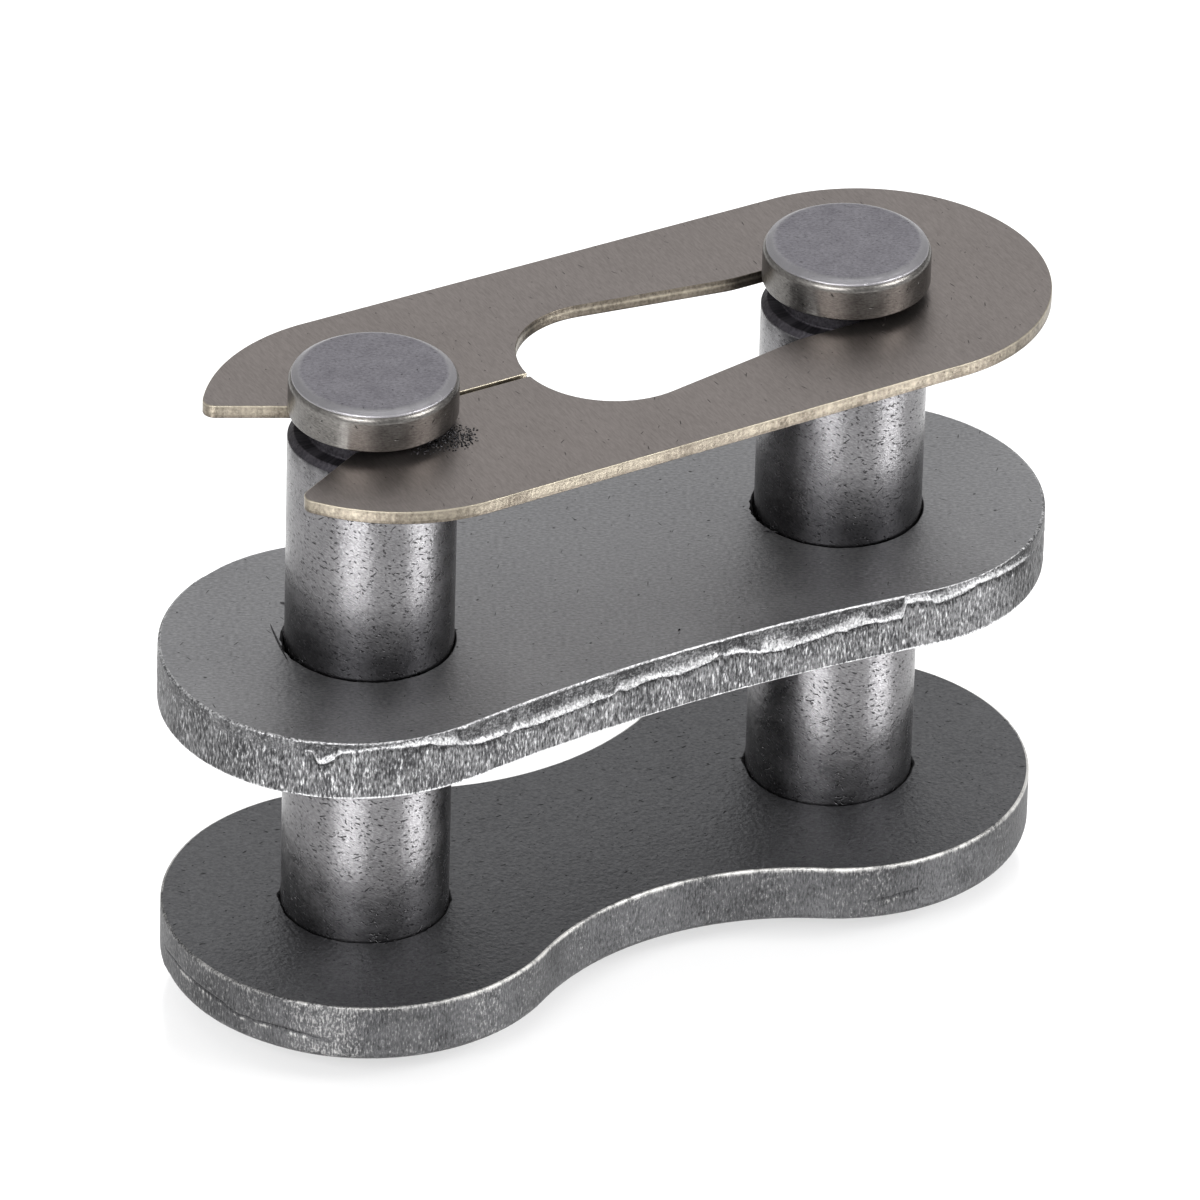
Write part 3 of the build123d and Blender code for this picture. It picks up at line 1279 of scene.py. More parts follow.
@dataclass
class FixedPlate(Plate):
    """The pressed-on plate, whose wall is drawn evenly and cracked at both its ends.

    The wall's rows part at the cracks, and at one depth elsewhere.
    """

    rows_above: int = 18
    rows_below: int = 18
    rim_rows: tuple[float, ...] = (0.0, 0.03, 0.07)  # shares of the way down to a crack
    plain_depth: float = 0.75  # where the rows part where there is no crack
    split_stray: Stray = Stray(0.015, 0.15)
    crack_lip: float = 0.02  # how far the metal stands back above a crack
    crack_depth: float = 0.06
    # painted shade in the cracks
    crack_shade: float = -0.5
    crack_spreads: tuple[float, float] = (0.004, 0.003)  # above and below it
    right_crack: float = 0.6  # how strong it is beside the left one
    dent: float = 0.035  # how far the wall stands back below the left crack
    dent_middle: float = 0.4
    dent_half: float = 3.8
    dent_fade: float = 1.5

    rim_depth: float = 0.09
    rim_reach: float = 1.3  # rim depths at which the rim's painted highlight has gone
    rim_light: tuple[float, float] = (0.3, 1.0)
    rim_mean: float = 0.75
    rim_stray: Stray = Stray(0.4, 1.1, 2)
    dull_rim: float = 0.45  # what is left of the rim's painted highlight at the left end
    dull_middle: float = 0.5
    dull_half: float = 3.0
    speck_strays: tuple[Stray, Stray] = (Stray(0.3, 0.07, 1), Stray(0.3, 0.17, 3))
    fleck_above: float = 0.65  # the speckle from which a fleck gets a painted glint below a crack
    fleck_glint: float = 0.5
    fleck_at: float = 0.12
    patch_stray: Stray = Stray(0.1, 0.6, 4)
    front_light: float = 0.1  # how much brighter the wall is around a station
    light_middle: float = 4.5
    light_half: float = 6.0
    light_fade: float = 4.0
    tear: float = 0.014
    stripe: float = 0.6

    def cut(self, wall: Wall) -> None:
        """Add a speckled rim with a painted highlight, fine drawn grain, and the cracks with
        painted shade.

        Args:
            wall: the bare wall.
        """
        station, seed = wall.outline.station, self.seed
        _, split, there = LEFT_CRACK.at(station)
        _, split_right, there_right = RIGHT_CRACK.at(station)
        split = np.where(there > 0, split, self.plain_depth)
        split = np.where(there_right > 0, split_right, split)
        split = split + self.split_stray.at(station, seed)
        crack = np.maximum(there, self.right_crack * there_right)
        dented = (self.dent_half - np.abs(station - self.dent_middle)) / self.dent_fade
        inset = self.dent * np.clip(dented, 0, 1) * there
        fine, coarse = (stray.at(station, seed) for stray in self.speck_strays)
        speckle = 0.5 + fine + coarse
        # painted highlight along the rim, dimmer at the left end
        strong = np.clip(self.rim_mean + self.rim_stray.at(station, seed), *self.rim_light)
        dull = np.abs(station - self.dull_middle) < self.dull_half
        strong = strong * np.where(dull, self.dull_rim, 1.0)
        lit = (self.light_half - np.abs(station - self.light_middle)) / self.light_fade
        patches = self.patch_stray.at(station, seed) + self.front_light * np.clip(lit, 0, 1)
        spread_above, spread_below = self.crack_spreads
        for share in (*self.rim_rows, *np.linspace(0, 1, self.rows_above)[2:-1]):
            stands = -self.crack_lip * crack * bell(1 - share, spread_above)
            rim = np.clip(self.rim_reach - split * share / self.rim_depth, 0, 1)
            tone = rim * strong * np.clip(0.5 + speckle, 0.5, 1.1) + patches * (1 - rim)
            tear = min(1.0, 0.3 + share * 5) * self.tear
            wall.add(split * share, stands, tone, tear, self.stripe)
        left = PLATE_THICKNESS - split
        flecks = self.fleck_glint * (speckle > self.fleck_above)
        for share in np.linspace(0, 1, self.rows_below + 1):
            gap = crack * bell(share, spread_below)
            stands = -self.crack_depth * gap - inset * min(1.0, share * 6)
            # painted glints just below a crack, and painted shade in it
            tone = flecks * bell(share - self.fleck_at, spread_above) * crack
            tone = tone + self.crack_shade * gap + patches
            tear = 0.0 if share == 1 else self.tear
            wall.add(split + left * share, stands, tone, tear, self.stripe)


# ---- Pins -----------------------------------------------------------------------


def turning_recipe() -> Recipe:
    """Write the recipe that turns a pin from its profile.

    The profile's points give radius as X and height as Z, from the head down. The
    seam of the map `around` lies at the back.

    Returns:
        The recipe, which takes the number of sides, the axis, where each surface of the
        head begins, and the finishes.
    """
    finishes = ("Shank Finish", "Groove Finish", "Side Finish", "Head Finish")
    recipe = Recipe(
        "turned_profile",
        {
            Input.COUNT: ("Sides",),
            Input.PLACE: ("Axis",),
            Input.LENGTH: ("Groove Bottom", "Head Bottom", "Rim Bottom", "Flat Radius"),
            Input.FINISH: finishes,
        },
    )
    given, profile = recipe.given, recipe.given["Geometry"]
    size = recipe.node(
        "GeometryNodeAttributeDomainSize", {"Geometry": profile}, component="MESH"
    )
    rows = size.outputs["Point Count"]
    columns = recipe.math("ADD", given["Sides"], 1.0)
    sheet = recipe.node("GeometryNodeMeshGrid", {"Vertices X": columns, "Vertices Y": rows}).outputs
    index = recipe.out("GeometryNodeInputIndex")
    column = recipe.math("FLOOR", recipe.math("DIVIDE", recipe.math("ADD", index, 0.5), rows))
    place = recipe.out("GeometryNodeInputPosition")
    sampled = {"Geometry": profile, "Value": place, "Index": recipe.math("MODULO", index, rows)}
    point = recipe.out(
        "GeometryNodeSampleIndex", sampled, data_type="FLOAT_VECTOR", domain="POINT"
    )
    share = recipe.math("DIVIDE", column, given["Sides"])
    turned = recipe.turned(point, recipe.times(share, 2 * math.pi, MAP_SEAM))
    moved = {"Geometry": sheet["Mesh"], "Position": recipe.vector("ADD", turned, given["Axis"])}
    shell = recipe.out("GeometryNodeSetPosition", moved)
    height = recipe.parts(place)[2]
    level = recipe.math("DIVIDE", height, PIN_LENGTH * MM)
    unrolled = recipe.combined(recipe.parts(sheet["UV Map"])[0], level, 0.0)
    shell = recipe.store(shell, "around", unrolled, "FLOAT2", "CORNER")
    merged = {"Geometry": shell, "Distance": WELD * MM}
    shell = recipe.out("GeometryNodeMergeByDistance", merged)
    shell = recipe.out("GeometryNodeFlipFaces", {"Mesh": shell})
    angle = recipe.node("GeometryNodeInputMeshEdgeAngle").outputs["Unsigned Angle"]
    sharp = recipe.math("GREATER_THAN", angle, SHARP_EDGE)
    smoothed = {"Geometry": shell, "Selection": sharp, "Shade Smooth": False}
    shell = recipe.out("GeometryNodeSetShadeSmooth", smoothed, domain="EDGE")
    spoke = recipe.vector("MULTIPLY", recipe.vector("SUBTRACT", place, given["Axis"]), (1, 1, 0))
    past = recipe.math("SUBTRACT", recipe.vector("LENGTH", spoke), given["Flat Radius"])
    worn = recipe.span(recipe.math("DIVIDE", past, RIM_BLEND * MM), 0.0, 1.0)
    shell = recipe.store(recipe.realize(shell), "light_and_wear", worn, "FLOAT", "POINT")
    shell = recipe.dress(shell, given[finishes[0]])
    for finish, bottom in zip(finishes[1:], ("Groove Bottom", "Head Bottom", "Rim Bottom")):
        above = recipe.math("GREATER_THAN", height, given[bottom])
        shell = recipe.dress(shell, given[finish], above)
    return recipe.close(shell)


@dataclass
class Pin:
    """A turned pin: riveted end, shank, groove for the clip, and head."""

    name: str
    node: str
    centre_x: float
    sides: int = 180
    rivet_flare: float = 0.22
    flat_inset: float = 0.32  # of the head's flat from its side

    def profile(self) -> Array:
        """Draw the profile from its corners, each with a radius, a height and a rounding.

        Returns:
            The rounded profile, as radius and height, from the head down.
        """
        corners = np.array([
            (0.0, HEAD_TOP, 0.0),
            (PIN_RADIUS - 0.6, HEAD_TOP, 0.0),
            (PIN_RADIUS - 0.26, HEAD_TOP, 0.3),
            (PIN_RADIUS - 0.07, HEAD_TOP - 0.12, 0.05),
            (PIN_RADIUS - 0.075, HEAD_TOP - 0.16, 0.01),
            (PIN_RADIUS - 0.06, HEAD_TOP - 0.17, 0.01),
            (PIN_RADIUS, HEAD_TOP - 0.23, 0.19),
            (PIN_RADIUS, HEAD_BOTTOM, 0.06),
            (GROOVE_ROOT_RADIUS, HEAD_BOTTOM, 0.05),
            (GROOVE_ROOT_RADIUS, SHOULDER_TOP, 0.05),
            (PIN_RADIUS - 0.15, SHOULDER_TOP, 0.03),
            (PIN_RADIUS, SHOULDER_TOP - 0.15, 0.05),
            (PIN_RADIUS, RIVET_HEIGHT, 0.0),
            (PIN_RADIUS + self.rivet_flare, RIVET_HEIGHT, 0.05),
            (PIN_RADIUS + self.rivet_flare, 0.0, 0.25),
            (0.0, 0.0, 0.0),
        ])
        line = [corners[0, :2]]
        for before, here, after in zip(corners, corners[1:], corners[2:]):
            line += self.rounded(before[:2], here[:2], after[:2], here[2])
        return np.array([*line, corners[-1, :2]])

    @staticmethod
    def rounded(before: Array, at: Array, after: Array, radius: float) -> list[Array]:
        """Round one corner of the profile.

        Args:
            before: the corner before it.
            at: the corner itself.
            after: the corner after it.
            radius: the rounding, which may be nothing.

        Returns:
            The points in place of the corner.
        """
        if not radius:
            return [at]
        back, on = (way / np.linalg.norm(way) for way in (before - at, after - at))
        half = math.acos(float(np.clip(back @ on, -1, 1))) / 2
        reach = radius / math.tan(half)
        middle = at + (back + on) / np.linalg.norm(back + on) * radius / math.sin(half)
        start, end = at + back * reach - middle, at + on * reach - middle
        spokes = (start * (1 - share) + end * share for share in np.linspace(0, 1, 7))
        return [middle + spoke / np.linalg.norm(spoke) * radius for spoke in spokes]

    def build(self, turning: Recipe) -> Piece:
        """Return the finished pin.

        Args:
            turning: the recipe that turns a profile.

        Returns:
            The pin, riding on the link.
        """
        line = self.profile()
        points = np.column_stack([line[:, 0], np.zeros(len(line)), line[:, 1]])
        edges = [(i, i + 1) for i in range(len(line) - 1)]
        piece = new_piece(self.name, points, edges, [])
        values = {
            "Sides": self.sides,
            "Axis": (self.centre_x * MM, 0.0, 0.0),
            "Groove Bottom": (SHOULDER_TOP - 0.1) * MM,
            "Head Bottom": (HEAD_BOTTOM + 0.01) * MM,
            "Rim Bottom": (HEAD_TOP - 0.15) * MM,
            "Flat Radius": (PIN_RADIUS - self.flat_inset) * MM,
            "Shank Finish": SHANK_STEEL.build(),
            "Groove Finish": GROOVE_STEEL.build(),
            "Head Finish": HEAD_STEEL.build(),
            "Side Finish": HEAD_SIDE_STEEL.build(),
        }
        turning.make(piece, values)
        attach(piece, "link")
        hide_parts(self.node)
        return piece


# ---- Spring clip ------------------------------------------------------------------


@dataclass
class SpringClip:
    """The flat clip: keyhole, slit, and two legs that lock in the grooves."""

    bottom: float = SHOULDER_TOP
    closed_x: float = 6.92
    closed_radius: float = 4.35
    leg_x: float = -5.75
    leg_radius: float = 4.48
    neck_gap: float = 1.13
    neck_round: float = 0.2
    tip_round: float = 0.3
    mouth_angle: float = 28.0
    slit_width: float = 0.14
    opening_radius: float = 2.22
    taper_x: float = 4.05
    taper_blend: float = 3.0
    edge_break: float = 0.02
    edge_step: float = 0.006  # depth of the first row on a broken edge
    nick_place: tuple[float, float] = (-9.9, 1.75)
    nick_reach: float = 0.22
    nick_depth: float = 0.08
    line_depth: float = 0.13  # where a line of painted highlight runs along the wall
    line_width: float = 0.04
    # painted light on the outer wall, evenly
    plain_light: float = 0.27
    rim_light: float = 0.45  # how much more painted highlight there is on the upper rim
    foot_dimming: float = 0.35  # and how much darker it is at the foot
    line_light: float = 0.1
    keyhole_light: float = 0.05  # how bright the keyhole's wall is painted, and how much more along its line
    keyhole_line: float = 0.6
    # a painted highlight along the top of the slit's wall
    slit_light: float = 0.9
    keyhole_ends: tuple[float, float] = (-4.9, 8.2)  # the X between which its wall lies
    patch_stray: Stray = Stray(0.12, 0.7)
    grain_stray: Stray = Stray(0.1, 0.06, 1)
    tear: float = 0.004
    step: float = 0.03
    seed: int = 31

    def leg_end(self, neck_x: float) -> float:
        """Find where a leg's round end meets the sloping line of the mouth.

        Args:
            neck_x: where that line begins, at the neck.

        Returns:
            The angle around the leg's end, in degrees.
        """
        slope = math.tan(math.radians(self.mouth_angle))
        low, high = math.pi / 2, math.pi
        for _ in range(50):
            middle = (low + high) / 2
            x = self.leg_x + self.leg_radius * math.cos(middle)
            y = self.leg_radius * math.sin(middle)
            above = y - self.neck_gap - slope * (neck_x - x) > 0
            low, high = (middle, high) if above else (low, middle)
        return math.degrees(low)

    def half(self) -> Array:
        """Draw the side of the clip that has +Y, with its corners rounded.

        Returns:
            The path from the closed end round the leg and in to the closed seat.
        """
        lean = math.asin((self.leg_radius - self.closed_radius) / (self.closed_x - self.leg_x))
        lean = 90 + math.degrees(lean)
        neck_x = -PITCH / 2 - math.sqrt(SEAT_RADIUS**2 - self.neck_gap**2)
        outer = np.vstack([
            arc((self.closed_x, 0), self.closed_radius, 0, lean),
            arc((self.leg_x, 0), self.leg_radius, lean, self.leg_end(neck_x)),
        ])
        neck_turn = bearing((neck_x + PITCH / 2, self.neck_gap))
        slit_turn, open_turn = (
            math.degrees(math.asin(self.slit_width / 2 / radius))
            for radius in (SEAT_RADIUS, self.opening_radius)
        )
        seat = arc((-PITCH / 2, 0), SEAT_RADIUS, neck_turn, slit_turn)[1:]
        taper = math.degrees(math.acos((self.opening_radius - SEAT_RADIUS) / self.taper_x))
        opening = arc((0, 0), self.opening_radius, 180 - open_turn, taper)
        hull_end = arc((self.taper_x, 0), SEAT_RADIUS, taper, taper)[0]
        slope = hull_end - opening[-1]
        bend = opening[-1] + slope * min((SEAT_RADIUS - opening[-1][1]) / slope[1], 1.0)
        closed_seat = arc((PITCH / 2, 0), SEAT_RADIUS, 90, 0)
        path = np.vstack([outer, (neck_x, self.neck_gap), seat, opening, bend, closed_seat])
        neck, taper_end = len(outer), len(outer) + 1 + len(seat) + len(opening)
        path = round_corner(path, taper_end, self.taper_blend)
        path = round_corner(path, neck, self.neck_round)
        return round_corner(path, neck - 1, self.tip_round)

    def wall(self) -> Wall:
        """Cut the clip's sheared wall, with a nick in the far leg.

        Returns:
            The wall with all its rows.
        """
        path = self.half()
        mirrored = path[::-1] * np.array([1, -1])
        outline = Outline.through(np.vstack([path, mirrored[1:-1]]), self.step)
        apart = np.linalg.norm(outline.points - np.array(self.nick_place), axis=1)
        nick = np.clip(1 - apart / self.nick_reach, 0, 1)
        (x, y), (left, right) = outline.points.T, self.keyhole_ends
        keyhole = (np.abs(y) < self.opening_radius + 0.05) & (x > left) & (x < right)
        in_slit = keyhole & (np.abs(y) < self.slit_width)
        patches = self.patch_stray.at(outline.station, self.seed)
        grains = self.grain_stray.at(outline.station, self.seed)
        wall = Wall(
            outline, self.bottom + CLIP_THICKNESS, CLIP_THICKNESS, self.edge_break, self.edge_break
        )
        ends = np.array([0.0, self.edge_step, self.edge_break])
        middle = np.linspace(self.edge_break, CLIP_THICKNESS - self.edge_break, 9)[1:-1]
        for depth in (*ends, *middle, *(CLIP_THICKNESS - ends[::-1])):
            inner = 0 < depth < CLIP_THICKNESS
            line = bell(depth - self.line_depth, self.line_width**2)
            # painted highlights on the upper rim and along a line, darker at the foot
            rubbed_and_lit = self.plain_light + self.rim_light * (depth < 0.03)
            rubbed_and_lit = rubbed_and_lit + self.line_light * line - self.foot_dimming * (depth > 0.27)
            slit = (depth < 0.06) * self.slit_light
            hidden = self.keyhole_light + np.where(in_slit, slit, self.keyhole_line * line)
            stands = -self.nick_depth * nick * min(1.0, depth / CLIP_THICKNESS * 1.6) * inner
            light_and_wear = np.where(keyhole, hidden, rubbed_and_lit) + patches + grains * (1 + line)
            wall.add(depth, stands, light_and_wear, self.tear * inner, 0.5)
        return wall

    def build(self, shear: Recipe) -> Piece:
        """Return the finished clip.

        Args:
            shear: the recipe that tears the wall's grain.

        Returns:
            The clip, riding on its body.
        """
        piece = Blank(
            "clip_blank", self.wall(), CLIP_STEEL, CLIP_EDGE, grain_size=0.07,
            grain_length=0.16, speck=0.2, seed=self.seed,
        ).build(shear)
        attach(piece, "clip")
        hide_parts("spring_clip")
        return piece


def round_corner(path: Array, corner: int, radius: float) -> Array:
    """Round one corner of an open path, whose sides may be straight or curved.

    Args:
        path: points of the path.
        corner: the number of the corner's point.
        radius: the rounding.

    Returns:
        The path with an arc in place of the corner.
    """

    def side(points: Array, turn: float) -> tuple[Array, Array]:
        """Space the points of one side finely.

        Args:
            points: the side, from the corner away.
            turn: 1 to move it to its left, or -1 to its right.

        Returns:
            The spaced points, and the same moved sideways by the radius.
        """
        reach = min(lengths(points)[-1], radius * CORNER_REACH)
        fine = spaced(points, np.linspace(0, reach, CORNER_POINTS))
        return fine, fine - rightward(np.gradient(fine, axis=0)) * turn * radius

    at = path[corner]
    into, out = at - path[corner - 1], path[corner + 1] - at
    turn = 1.0 if into[0] * out[1] - into[1] * out[0] > 0 else -1.0
    back, back_moved = side(path[: corner + 1][::-1], -turn)
    on, on_moved = side(path[corner:], turn)
    apart = np.linalg.norm(back_moved[:, None] - on_moved[None], axis=2)
    apart[:CORNER_NEAR, :CORNER_NEAR] += 1.0
    i, j = np.unravel_index(np.argmin(apart), apart.shape)
    middle = (back_moved[i] + on_moved[j]) / 2
    start, end = bearing(back[i] - middle), bearing(on[j] - middle)
    curve = arc(middle, radius, start, start + (end - start + 180) % 360 - 180)
    away = np.linalg.norm(path - at, axis=1)
    number = np.arange(len(path))
    before = (number < corner) & (away > np.linalg.norm(back[i] - at))
    after = (number > corner) & (away > np.linalg.norm(on[j] - at))
    return np.vstack([path[before], curve, path[after]])


# ---- Traces of making and handling --------------------------------------------------


def grain_recipe() -> Recipe:
    """Write the recipe that scatters grains of dried grease over a patch.

    Returns:
        The recipe, which takes the grains' number for a square millimetre, their
        radius, a seed and their finish.
    """
    recipe = Recipe(
        "scattered_grains",
        {
            Input.LENGTH: ("Density", "Grain Radius"),
            Input.COUNT: ("Seed",),
            Input.FINISH: ("Finish",),
        },
    )
    given = recipe.given
    density = recipe.math("DIVIDE", given["Density"], MM * MM)
    density = recipe.times(density, recipe.attribute("cover"))
    scattered = {"Mesh": given["Geometry"], "Density": density, "Seed": given["Seed"]}
    points = recipe.out("GeometryNodeDistributePointsOnFaces", scattered)
    ball = {"Radius": given["Grain Radius"], "Subdivisions": 1}

    def random(low: Colour, high: Colour, step: float) -> Socket:
        """Return a random vector for each grain."""
        inputs = {0: low, 1: high, "Seed": recipe.math("ADD", given["Seed"], step)}
        return recipe.out("FunctionNodeRandomValue", inputs, data_type="FLOAT_VECTOR")

    inputs = {
        "Points": points,
        "Instance": recipe.out("GeometryNodeMeshIcoSphere", ball),
        "Rotation": random((-0.4, -0.4, 0.0), (0.4, 0.4, 6.28), 2.0),
        "Scale": random((0.3, 0.3, 0.25), (1.6, 1.0, 0.8), 1.0),
    }
    placed = recipe.out("GeometryNodeInstanceOnPoints", inputs)
    return recipe.close(recipe.dress(recipe.realize(placed), given["Finish"]))


def sliver_recipe() -> Recipe:
    """Write the recipe that draws a thin metal sliver along each line of a mesh.

    Returns:
        The recipe, which takes the sliver's radius and its finish.
    """
    recipe = Recipe("drawn_slivers", {Input.LENGTH: ("Radius",), Input.FINISH: ("Finish",)})
    given = recipe.given
    line = recipe.out("GeometryNodeMeshToCurve", {"Mesh": given["Geometry"]})
    smooth = recipe.out("GeometryNodeCurveSplineType", {"Curve": line}, spline_type="CATMULL_ROM")
    fine = recipe.out("GeometryNodeResampleCurve", {"Curve": smooth, "Count": 24})
    share = recipe.node("GeometryNodeSplineParameter").outputs["Factor"]
    belly = recipe.math("SQRT", recipe.math("SINE", recipe.times(share, math.pi)))
    radius = recipe.times(given["Radius"], recipe.math("MAXIMUM", belly, 0.15))
    ring = {"Resolution": 6, "Radius": 1.0}
    section = recipe.out("GeometryNodeCurvePrimitiveCircle", ring)
    inputs = {"Curve": fine, "Profile Curve": section, "Scale": radius, "Fill Caps": True}
    wire = recipe.out("GeometryNodeCurveToMesh", inputs)
    return recipe.close(recipe.dress(recipe.realize(wire), given["Finish"]))


@dataclass
class DriedGrease:
    """The grains of grease that the clip has gathered beside the left head."""

    centre: tuple[float, float] = (-5.22, -1.62)
    reach: tuple[float, float] = (0.72, 0.62)
    smear: tuple[float, float] = (0.9, 0.12)  # how far the patch is drawn out to the left
    smear_share: float = 0.75
    density: float = 620.0
    grain_radius: float = 0.03
    lift: float = 0.002  # of the patch above the clip
    thinning: float = 0.8  # how it thins out towards its border
    clumps: tuple[float, float] = (0.2, 1.6)  # how much its cover varies
    rings: int = 10
    spokes: int = 24
    clump_seed: int = 5
    seed: int = 7

    def build(self, scatter: Recipe) -> Piece:
        """Return the grains on the clip.

        Args:
            scatter: the recipe that scatters grains.

        Returns:
            The grains, riding on the clip.
        """
        height = SHOULDER_TOP + CLIP_THICKNESS + self.lift
        random = np.random.default_rng(self.clump_seed)
        points, cover = [(*self.centre, height)], [1.0]
        for share in np.arange(1, self.rings + 1) / self.rings:
            for turn in np.linspace(0, 2 * math.pi, self.spokes, endpoint=False):
                x = self.centre[0] + self.reach[0] * share * math.cos(turn)
                y = self.centre[1] + self.reach[1] * share * math.sin(turn)
                left = max(0.0, -math.cos(turn)) ** 3 * share * self.smear_share
                points.append((x - left * self.smear[0], y - left * self.smear[1], height))
                cover.append((1 - share) ** self.thinning * random.uniform(*self.clumps))
        faces = [(0, 1 + i, 1 + (i + 1) % self.spokes) for i in range(self.spokes)]
        faces += band_quads(1, self.rings, self.spokes).tolist()
        piece = new_piece("dried_grease_grains", points, [], faces)
        keep(piece, "cover", "FLOAT", "POINT", cover)
        values = {
            "Density": self.density,
            "Grain Radius": self.grain_radius * MM,
            "Seed": self.seed,
            "Finish": GREASE.build(),
        }
        scatter.make(piece, values)
        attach(piece, "clip")
        return piece


@dataclass
class Swarf:
    """Thin slivers of metal left lying at the mouths of the cover plate's holes."""

    height: float = COVER_TOP + 0.012
    radius: float = 0.022
    lines: tuple[tuple[tuple[float, float], ...], ...] = (
        ((-8.12, 1.56), (-8.21, 1.25), (-8.32, 0.86), (-8.44, 0.40), (-8.55, -0.05)),
        ((-7.86, 1.36), (-8.0, 1.14), (-8.14, 0.82)),
        ((-7.46, 2.27), (-7.38, 2.19), (-7.30, 2.12)),
        ((4.10, -0.29), (4.36, -0.42), (4.58, -0.72), (4.76, -1.10), (4.66, -1.24)),
        ((0.12, -3.16), (0.15, -3.15), (0.19, -3.14)),
    )

    def build(self, draw: Recipe) -> Piece:
        """Return the slivers on the cover plate.

        Args:
            draw: the recipe that draws a sliver along a line.

        Returns:
            The slivers, riding on the cover plate.
        """
        points, edges = [], []
        for line in self.lines:
            first = len(points)
            points += [(x, y, self.height) for x, y in line]
            edges += [(first + i, first + i + 1) for i in range(len(line) - 1)]
        piece = new_piece("bore_slivers", points, edges, [])
        draw.make(piece, {"Radius": self.radius * MM, "Finish": GREASE.build()})
        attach(piece, "cover")
        return piece


# ---- Studio ---------------------------------------------------------------------


def toward(azimuth: float, elevation: float) -> Vector:
    """Find the way from the link to a lamp or the camera.

    Args:
        azimuth: its angle from the front, in degrees.
        elevation: its angle above the ground, in degrees.

    Returns:
        The way, with a length of one.
    """
    turn, rise = math.radians(azimuth), math.radians(elevation)
    level = math.cos(rise)
    return Vector((math.sin(turn) * level, -math.cos(turn) * level, math.sin(rise)))


@dataclass(frozen=True)
class Softbox:
    """A flat lamp that looks at the middle of the link, with sizes in metres."""

    name: str
    azimuth: float
    elevation: float
    distance: float
    width: float
    height: float
    level: float

    def hang(self, target: Vector) -> None:
        """Put the lamp in its place.

        Args:
            target: the point it looks at.
        """
        lamp = bpy.data.lights.new(self.name, "AREA")
        lamp.shape = "RECTANGLE"
        lamp.size, lamp.size_y = self.width, self.height
        lamp.energy = self.level * math.pi * self.width * self.height
        holder = add_object(self.name, lamp)
        away = toward(self.azimuth, self.elevation)
        holder.location = target + away * self.distance
        holder.rotation_euler = away.to_track_quat("Z", "Y").to_euler()


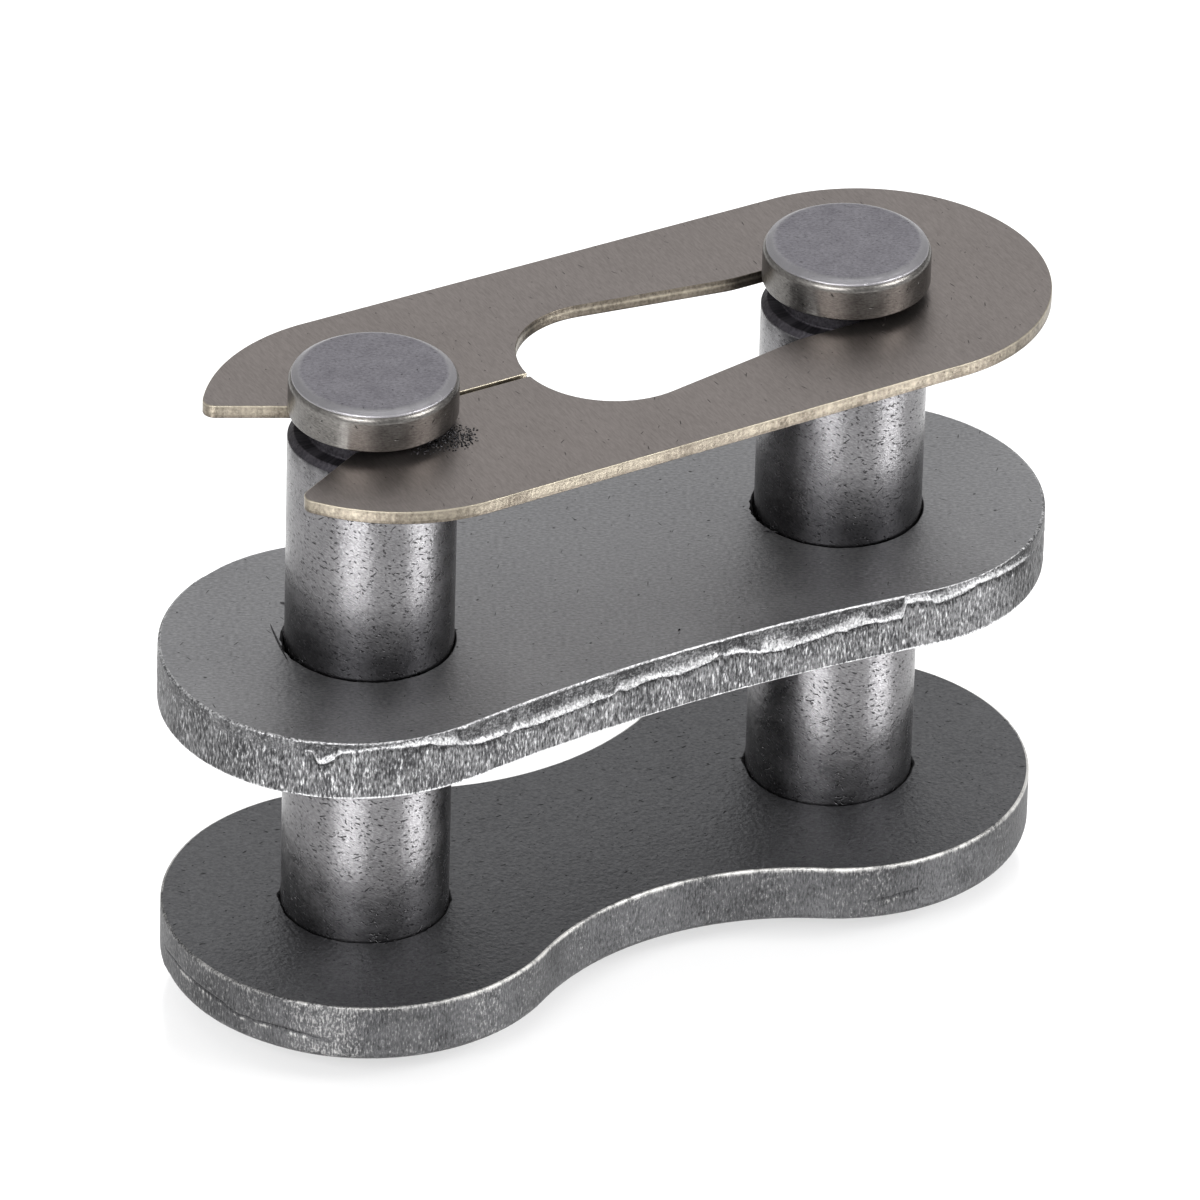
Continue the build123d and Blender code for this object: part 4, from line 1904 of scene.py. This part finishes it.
@dataclass
class Studio:
    """Satin white floor, soft lamps and the camera.

    The two front lamps also stand mirrored in the floor, and that is what draws the
    long lights down the pins.
    """

    azimuth: float = -31.0158
    elevation: float = 31.6561
    roll: float = 1.5816
    target_in_view: tuple[float, float, float] = (-0.0945, 7.2750, 344.2445)
    focal_share: float = 14482.56 / 1200
    sensor_width: float = 36.0
    floor_reach: float = 3000.0
    floor_colour: float = 0.55
    floor_sheen: float = 0.45
    floor_roughness: float = 0.2
    backdrop_lift: float = 0.6
    room_level: float = 0.6
    lamps: tuple[Softbox, ...] = (
        Softbox("left_lamp", -53, 36, 0.5, 0.26, 0.16, 14.0),
        Softbox("right_lamp", 42, 36, 0.5, 0.19, 0.16, 15.0),
        Softbox("back_lamp", 149, 36, 0.6, 0.6, 0.4, 0.4),
        Softbox("top_lamp", -25, 66, 0.6, 0.4, 0.4, 0.8),
    )

    def camera(self) -> None:
        """Set up the camera."""
        turn, roll = math.radians(self.azimuth), math.radians(self.roll)
        back = toward(self.azimuth, self.elevation)
        level = Vector((math.cos(turn), math.sin(turn), 0))
        upright = back.cross(level)
        right = level * math.cos(roll) + upright * math.sin(roll)
        up = upright * math.cos(roll) - level * math.sin(roll)
        across, down, ahead = self.target_in_view
        lens = bpy.data.cameras.new("camera")
        lens.sensor_fit = "HORIZONTAL"
        lens.sensor_width = self.sensor_width
        lens.lens = self.sensor_width * self.focal_share
        lens.clip_start, lens.clip_end = 0.01, 20
        holder = add_object("camera", lens)
        place = (back * ahead - right * across + up * down) * MM
        turned = Matrix((right, up, back)).transposed().to_4x4()
        holder.matrix_world = Matrix.Translation(place) @ turned
        bpy.context.scene.camera = holder

    def seen(self, bench: Bench) -> Socket:
        """Tell rays that show a picture from those that only bring light.

        Args:
            bench: the tree that is being built.

        Returns:
            1 for rays from the camera or a mirror or glass, and else 0.
        """
        path = bench.node("ShaderNodeLightPath").outputs
        shown = bench.math("MAXIMUM", path["Is Camera Ray"], path["Is Glossy Ray"])
        return bench.math("MAXIMUM", shown, path["Is Transmission Ray"])

    def floor(self) -> None:
        """Lay the floor."""
        corners = [(x, y, 0) for x, y in ((-1, -1), (1, -1), (1, 1), (-1, 1))]
        floor = new_piece("floor", np.array(corners) * self.floor_reach, [], [(0, 1, 2, 3)])
        material = bpy.data.materials.new("floor_white")
        material.use_nodes = True
        bench = Bench(material.node_tree)
        paint = bench.out("ShaderNodeBsdfDiffuse", {"Color": (*[self.floor_colour] * 3, 1.0)})
        gloss = {"Color": (1.0, 1.0, 1.0, 1.0), "Roughness": self.floor_roughness}
        sheen = bench.out("ShaderNodeBsdfGlossy", gloss)
        satin = bench.out("ShaderNodeMixShader", {0: self.floor_sheen, 1: paint, 2: sheen})
        glow = bench.times(self.seen(bench), self.backdrop_lift)
        lift = bench.out("ShaderNodeEmission", {"Strength": glow})
        both = bench.out("ShaderNodeAddShader", {0: satin, 1: lift})
        bench.node("ShaderNodeOutputMaterial", {"Surface": both})
        floor.data.materials.append(material)

    def world(self) -> None:
        """Fill the room with even light."""
        world = bpy.data.worlds.new("room")
        world.use_nodes = True
        bench = Bench(world.node_tree)
        even = {"Color": (1, 1, 1, 1), "Strength": self.room_level}
        light = bench.out("ShaderNodeBackground", even)
        bench.node("ShaderNodeOutputWorld", {"Surface": light})
        bpy.context.scene.world = world

    def build(self) -> None:
        """Set up the whole studio."""
        bpy.context.scene.view_settings.view_transform = "Standard"
        self.camera()
        self.floor()
        self.world()
        for lamp in self.lamps:
            lamp.hang(Vector((0, 0, 0.008)))


# ---- Build ----------------------------------------------------------------------


def main() -> None:
    """Build every piece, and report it."""
    logging.basicConfig(level=logging.INFO, format="%(name)s: %(message)s")
    Studio().build()
    shear, turning = shear_recipe(), turning_recipe()
    fixed_plate = FixedPlate(
        "fixed_plate_blank", "fixed_plate", "link", bottom=RIVET_HEIGHT,
        end_x=PITCH / 2, end_radius=4.8, waist_depth=1.85, bore_radius=PIN_RADIUS,
        top_round=0.06, bottom_round=0.25, bore_chamfer=0.05,
        finish=FIXED_STEEL, edge=FIXED_EDGE, seed=3, speck=0.25,
        chips=((150, 5, 0.045), (-30, 5, 0.04), (172, 4, 0.02)),
    )
    cover_plate = CoverPlate(
        "cover_plate_blank", "cover_plate", "cover", bottom=COVER_BOTTOM,
        end_x=PITCH / 2 + 0.48, end_radius=4.5, waist_depth=0.49, bore_radius=PIN_RADIUS + 0.03,
        top_round=0.07, bottom_round=0.05, bore_chamfer=0.03,
        finish=COVER_STEEL, edge=COVER_EDGE, seed=11, chips=((165, 20, 0.07),),
    )
    for maker, recipe in (
        (fixed_plate, shear),
        (cover_plate, shear),
        (Pin("left_pin_turned", "left_pin", -PITCH / 2), turning),
        (Pin("right_pin_turned", "right_pin", PITCH / 2), turning),
        (SpringClip(), shear),
        (DriedGrease(), grain_recipe()),
        (Swarf(), sliver_recipe()),
    ):
        piece = maker.build(recipe)
        log.info("%s: %d faces", piece.name, len(piece.data.polygons))


if __name__ == "__main__":
    main()
